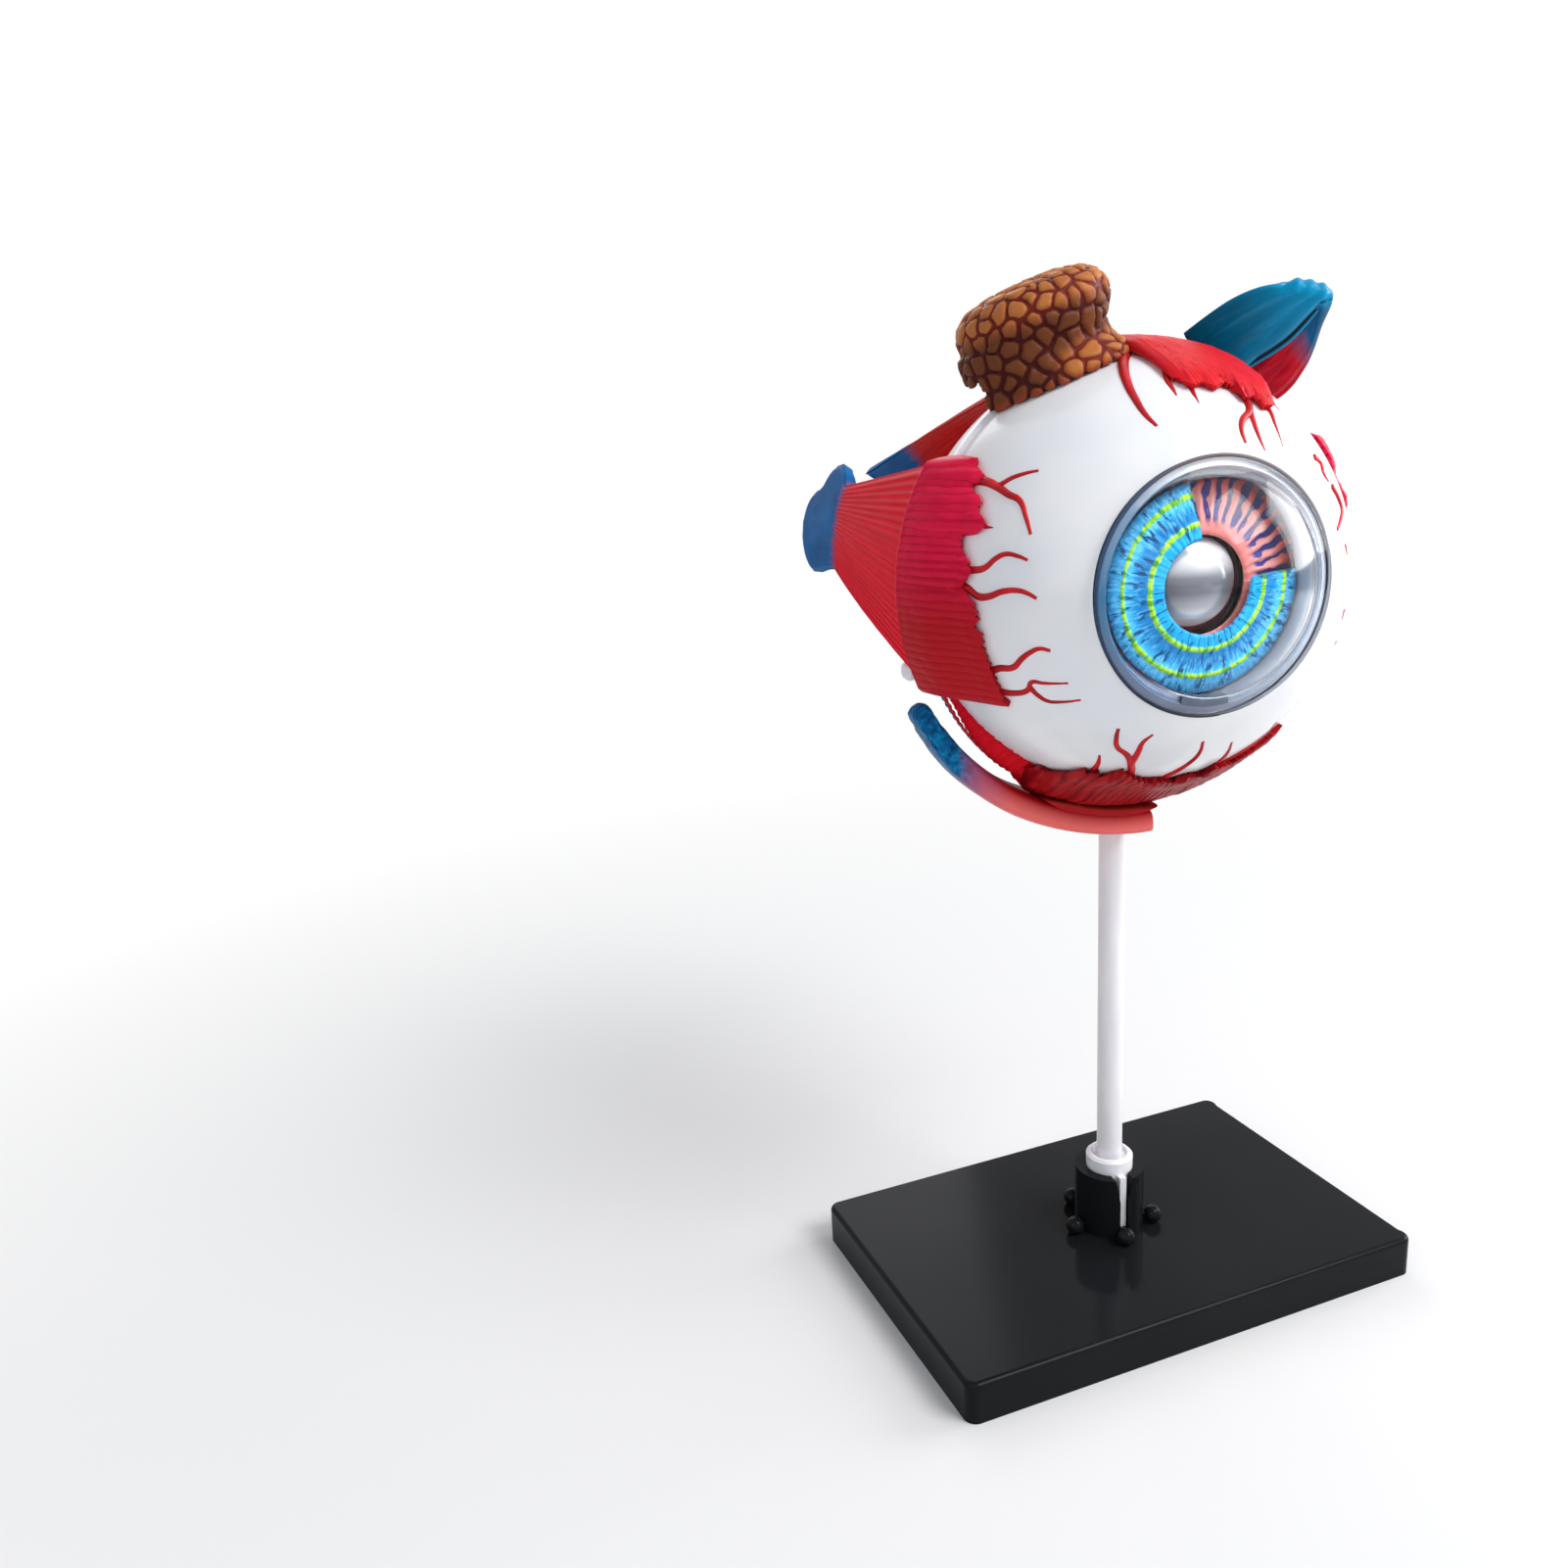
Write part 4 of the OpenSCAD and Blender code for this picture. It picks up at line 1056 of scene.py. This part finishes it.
oblique = {
    # middle, half way across and half thickness of each row along the strap, in the eye's mm
    "rows": [((14.5, 3.4, 28.85), (3.9, 0, -2.25), 1.0), ((18.6, -3.2, 33), (3.6, 0.2, -2.3), 1.3),
             ((22, -8, 36.3), (2.2, -0.2, -0.5), 1.5), ((25.2, -5.6, 33.8), (1.2, 0.7, -1.2), 1.2),
             ((25.6, -0.6, 29), (1.7, 0.7, -1.7), 1.25), ((24.0, 5, 25), (1.8, 0.4, -1.9), 1.3),
             ((21.5, 20, 21.8), (1.5, 0, -1.5), 1.9), ((16, 63, 15.4), (1, 0, -1), 1.5)],
    "steps": 22, "round": 72,
    # the bright cord in the fold
    "cord": [((18.9, 2.9, 26.95), 0.75), ((19.9, 0.4, 29.0), 0.85), ((20.9, -2.4, 31.2), 0.9),
             ((22.3, -5.2, 33.9), 0.85), ((23.2, -6.6, 35.3), 0.6)],
}


# A smooth run from b to c
def curveBetween(a, b, c, d, t):
    return 0.5 * (2 * b + (c - a) * t + (2 * a - 5 * b + 4 * c - d) * t * t + (3 * b - a - 3 * c + d) * t ** 3)


def makeOblique():
    rows = [(Vector(m), Vector(h), r) for m, h, r in oblique["rows"]]
    path = []
    for i in range(len(rows) - 1):
        a, b, c, d = (rows[max(0, min(len(rows) - 1, k))] for k in (i - 1, i, i + 1, i + 2))
        for s in range(oblique["steps"]):
            t = s / oblique["steps"]
            path.append(tuple(curveBetween(a[k], b[k], c[k], d[k], t) for k in range(3)))
    path.append(rows[-1])
    count = len(path) - 1

    def shape(u, v):
        at = min(int(round(v * count)), count)
        middle, half, thick = path[at]
        ahead = (path[min(at + 1, count)][0] - path[max(at - 1, 0)][0]).normalized()
        out = ahead.cross(half).normalized()
        width = half.length + thick
        a = 2 * pi * u
        across, up = cos(a), sin(a)
        across = (abs(across) ** 0.75) * (1 if across > 0 else -1)
        ends = sqrt(clamp(min(at, count - at) / 4 + 0.04))
        # three long ridges, then a groove near the fold side
        cords = 0.16 * thick * (cos(3.6 * pi * across + 0.6) - 1) * smooth(width, 2.6, 4.2)
        cords -= 0.35 * exp(-((across - 0.8) / 0.06) ** 2) * (1 - smooth(v, 0.2, 0.28))
        side = 1 if up > 0 else -1
        return (middle + half.normalized() * across * width * ends
                + out * (up * thick + side * cords * abs(up)) * ends)

    piece = gridSheet("obliqueStrap", oblique["round"], count, shape)
    tidyMesh(piece, 0.02)
    closeEnds(piece)
    curve = bpy.data.curves.new("obliqueCord", "CURVE")
    curve.dimensions = "3D"
    curve.bevel_depth = 1.0
    curve.bevel_resolution = 5
    curve.use_fill_caps = True
    line = curve.splines.new("BEZIER")
    line.bezier_points.add(len(oblique["cord"]) - 1)
    for knot, (place, thick) in zip(line.bezier_points, oblique["cord"]):
        knot.co = place
        knot.handle_left_type = knot.handle_right_type = "AUTO"
        knot.radius = thick
    cord = bpy.data.objects.new("obliqueCord", curve)
    bpy.context.collection.objects.link(cord)
    only(cord)
    bpy.ops.object.convert(target="MESH")
    tidyMesh(cord, 0.0005)
    return piece, cord


def obliqueFinish(piece, cord):
    paint = Finish("tealOblique", 0.32, Specular_IOR_Level=0.08)
    uv, u, v = paint.across()
    across = paint.math("COSINE", paint.math("MULTIPLY", u, 2 * pi))
    fibre = paint.cloud(paint.scaled(uv, (26, 9, 1)), 1.0, 3, 0.6)
    teal = paint.ramp(fibre, [(0.3, (0.0, 0.12, 0.23)), (0.55, (0.0, 0.17, 0.33)), (0.75, (0.001, 0.24, 0.44))])
    teal = paint.mix(paint.ramp(v, fromTo(0.12, 0.26, 0, 0.8)), teal, (0.002, 0.27, 0.5))
    # painted shade: past the fold the strap turns deep blue for its side that lies in shade
    deep = paint.ramp(fibre, [(0.3, (0.0, 0.05, 0.13)), (0.7, (0.002, 0.12, 0.26))])
    base = paint.mix(paint.ramp(v, fromTo(0.31, 0.37)), teal, deep)
    red = paint.ramp(fibre, [(0.3, (0.3, 0.0, 0.01)), (0.7, (0.55, 0.006, 0.02))])
    fade = paint.math("MULTIPLY_ADD", paint.cloud(paint.scaled(uv, (9, 4, 1)), 1.0, 2), 0.05, v)
    base = paint.mix(paint.ramp(fade, fromTo(0.52, 0.6)), base, red)
    # painted shade: a near-black line in the groove near the fold and at the foot where the strap meets the ball
    groove = paint.math("ABSOLUTE", paint.math("SUBTRACT", across, 0.78))
    groove = paint.math("MULTIPLY", paint.ramp(groove, fromTo(0.04, 0.09, 1, 0)),
                        paint.ramp(v, fromTo(0.24, 0.28, 1, 0)))
    foot = paint.ramp(v, fromTo(0.008, 0.016, 1, 0))
    base = paint.mix(paint.math("MAXIMUM", groove, foot), base, (0.002, 0.008, 0.02))
    paint.set("Base Color", base)
    paint.bump(fibre, 0.2, 0.00015)
    paint.give(piece)
    bright = Finish("brightCord", 0.28, Specular_IOR_Level=0.1)
    tone = bright.cloud(bright.eyeMm(), 0.5, 3)
    bright.set("Base Color", bright.ramp(tone, [(0.35, (0.002, 0.2, 0.36)), (0.65, (0.002, 0.32, 0.55))]))
    bright.give(cord)


obliquePiece, obliqueCord = makeOblique()
obliqueFinish(obliquePiece, obliqueCord)
obliquePiece = joinAll([obliquePiece, obliqueCord])
settle(obliquePiece, "upper_oblique", ["superior_oblique"], angle=60)
print("upper oblique made")


# Lower oblique: the salmon strap that carries the eye

strap = {
    "inner": 34.0, "thick": 3.9, "first": -153.5, "last": -84.5, "round": 64, "rows": 120,
    # along the strap in degrees: front and rear edges in mm
    "frontEdge": [(-157, -0.9), (-150, -2.2), (-140, -2.6), (-125, -3.2), (-110, -4.0), (-98, -5.0), (-84, -5.6)],
    "rearEdge": [(-157, 1.2), (-150, 2.8), (-140, 4.0), (-125, 5.8), (-110, 8.2), (-98, 9.8), (-84, 9.6)],
    # half thickness against the full one, thin at the blue tip and flared at the rod
    "thin": [(-154, 0.7), (-146, 0.78), (-135, 0.9), (-118, 1.0), (-96, 1.02), (-88, 1.08), (-84, 1.04)],
    "lug": (12.2, 3.2), "saddle": (-110.5, -88.5),
}


def makeStrap():
    middle = strap["inner"] + strap["thick"] / 2

    def shape(u, v):
        turn = strap["first"] + (strap["last"] - strap["first"]) * v
        front, rear = along(strap["frontEdge"], turn), along(strap["rearEdge"], turn)
        a = 2 * pi * u
        y, r = cos(a), sin(a)
        y = (abs(y) ** 0.45) * (1 if y > 0 else -1)
        r = (abs(r) ** 0.5) * (1 if r > 0 else -1)
        ends = clamp(min(v, 1 - v) * 40 + 0.02) ** 0.5
        thin = along(strap["thin"], turn)
        half = strap["thick"] / 2 * ends * thin
        ragged = 0.28 * (1 - smooth(v, 0.1, 0.22)) * noise.noise(Vector((turn * 0.35, y * 2.2, r * 2.2)))
        place = (front + rear) / 2 + (rear - front) / 2 * y * ends
        inward = strap["thick"] / 2 * (1 - min(thin, 1.0))
        radius = middle - inward + (half + ragged) * r
        t = radians(turn)
        return Vector((radius * cos(t), place, radius * sin(t)))

    piece = gridSheet("lowerStrap", strap["round"], strap["rows"], shape)
    tidyMesh(piece, 0.02)
    closeEnds(piece)
    return piece


# The lug that goes up into the eye, the boss over the rod and the saddle under the insertion
def makeStrapBlocks():
    wide, deep = strap["lug"]
    first, last = strap["saddle"]
    deselect()
    bpy.ops.mesh.primitive_cube_add(size=1, location=(0, eye["lead"], -31.8))
    lug = bpy.context.object
    lug.scale = (wide, deep, 5.6)
    bpy.ops.object.transform_apply(location=True, rotation=True, scale=True)
    useModifier(lug, "BEVEL", width=0.5, segments=3, limit_method="NONE")
    deselect()
    bpy.ops.mesh.primitive_cylinder_add(vertices=48, radius=4.4, depth=3.6, location=(0, eye["lead"], -36.2))
    boss = bpy.context.object
    bpy.ops.object.transform_apply(location=True, rotation=True, scale=True)
    useModifier(boss, "BEVEL", width=0.5, segments=3, limit_method="ANGLE")

    def shape(u, v):
        turn = first + (last - first) * v
        a = 2 * pi * u
        y, r = cos(a), sin(a)
        y = (abs(y) ** 0.4) * (1 if y > 0 else -1)
        r = (abs(r) ** 0.5) * (1 if r > 0 else -1)
        ends = clamp(min(v, 1 - v) * 8 + 0.02) ** 0.5
        spread = 0.9 * (1 - r) * (1 - ends)
        front = along(strap["frontEdge"], turn) + 0.25
        t = radians(turn + (spread if v < 0.5 else -spread) * -3)
        radius = 34.15 + 0.75 * r * (0.3 + 0.7 * ends)
        return Vector((radius * cos(t), front / 2 + abs(front) / 2 * y, radius * sin(t)))

    saddle = gridSheet("strapSaddle", 48, 40, shape)
    tidyMesh(saddle, 0.02)
    closeEnds(saddle)
    return [lug, boss, saddle]


def strapFinish(*pieces):
    paint = Finish("salmonStrap", 0.36, Specular_IOR_Level=0.08)
    at = paint.eyeMm()
    x, y, z = paint.split(at)
    radius = radiusIn(paint, x, z)
    mottled = paint.cloud(at, 0.35, 3)
    grain = paint.cloud(paint.scaled(at, (0.9, 3.2, 0.9)), 1.0, 3, 0.6)
    face = paint.spread(radius, 34.5, 36.6)
    salmon = paint.mix(face, (0.46, 0.008, 0.016), (0.88, 0.15, 0.14))
    salmon = paint.mix(paint.math("MULTIPLY", paint.math("MULTIPLY", mottled, face), 0.35), salmon, (0.86, 0.24, 0.2))
    # painted shadow: the strap turns dark brown on its inner side against the ball
    ballShadow = paint.spread(radius, 34.25, 33.7)
    salmon = paint.mix(ballShadow, salmon, (0.38, 0.025, 0.015))
    purple = paint.spread(x, -19.0, -24.0)
    salmon = paint.mix(paint.math("MULTIPLY", purple, 0.6), salmon, (0.3, 0.11, 0.26))
    blue = paint.ramp(grain, [(0.35, (0.0, 0.05, 0.15)), (0.52, (0.0, 0.11, 0.3)), (0.68, (0.0, 0.24, 0.5))])
    tip = paint.math("MULTIPLY_ADD", mottled, 2.5, x)
    paint.set("Base Color", paint.mix(paint.spread(tip, -22.0, -25.5), salmon, blue))
    paint.bump(grain, 0.25, 0.0002)
    paint.give(*pieces)


strapPiece = joinAll([makeStrap()] + makeStrapBlocks())
strapFinish(strapPiece)
settle(strapPiece, "strap", ["inferior_oblique"], angle=50)
print("strap made")


# What only shows when the eye is apart: inner layers and nerve

def innerFinishes():
    dark = Finish("choroidBrown", 0.5)
    at = dark.eyeMm()
    net = dark.add("TexVoronoi", "Distance", feature="DISTANCE_TO_EDGE", inlets={"Vector": at, "Scale": 0.28})
    dark.set("Base Color", dark.ramp(net, [(0.02, (0.32, 0.03, 0.02)), (0.12, (0.1, 0.02, 0.015))]))
    dark.bump(net, 0.2, 0.0002)
    dark.give(cad["choroid"])

    coral = Finish("retinaCoral", 0.4)
    at = coral.eyeMm()
    bent = coral.mix(0.35, at, coral.cloud(at, 0.12, 3, outlet="Color"), "ADD")
    vein = coral.add("TexVoronoi", "Distance", feature="DISTANCE_TO_EDGE", inlets={"Vector": bent, "Scale": 0.09})
    coral.set("Base Color", coral.ramp(vein, [(0.008, (0.45, 0.02, 0.02)), (0.02, (0.75, 0.3, 0.18)),
                                              (0.5, (0.8, 0.36, 0.22))]))
    coral.give(cad["retina"])

    clear = Finish("clearBody", 0.03, IOR=1.25, Transmission_Weight=1.0)
    clear.set("Base Color", (0.93, 0.98, 1.0, 1))
    clear.bump(clear.cloud(clear.place(), 60, 1), 0.02, 0.0001)
    clear.letLightThrough((0.9, 0.95, 0.97))
    clear.give(cad["vitreous_body"])

    sheath = Finish("nerveSheath", 0.4, Coat_Weight=0.2)
    fibre = sheath.cloud(sheath.scaled(sheath.eyeMm(), (1.4, 0.12, 1.4)), 1.0, 3)
    sheath.set("Base Color", sheath.ramp(fibre, [(0.35, (0.66, 0.5, 0.24)), (0.65, (0.82, 0.7, 0.42))]))
    sheath.bump(fibre, 0.3, 0.0002)
    sheath.give(cad["optic_nerve_sheath"])

    yellow = Finish("nerveYellow", 0.42)
    bundle = yellow.add("TexVoronoi", "Distance", inlets={
        "Vector": yellow.scaled(yellow.eyeMm(), (1.9, 0.05, 1.9)), "Scale": 1.0})
    yellow.set("Base Color", yellow.ramp(bundle, [(0.15, (0.86, 0.55, 0.12)), (0.6, (0.55, 0.28, 0.05))]))
    yellow.bump(bundle, 0.3, 0.0002)
    yellow.give(cad["optic_nerve"])

    pair = Finish("nerveVessels", 0.35)
    x, y, z = pair.split(pair.eyeMm())
    pair.set("Base Color", pair.mix(pair.spread(x, 3.95, 4.05),
                                    (0.02, 0.08, 0.4), (0.5, 0.01, 0.02)))
    pair.bump(pair.cloud(pair.place(), 900, 2), 0.1, 0.0001)
    pair.give(cad["central_vessels"])


innerFinishes()
print("inner pieces finished")
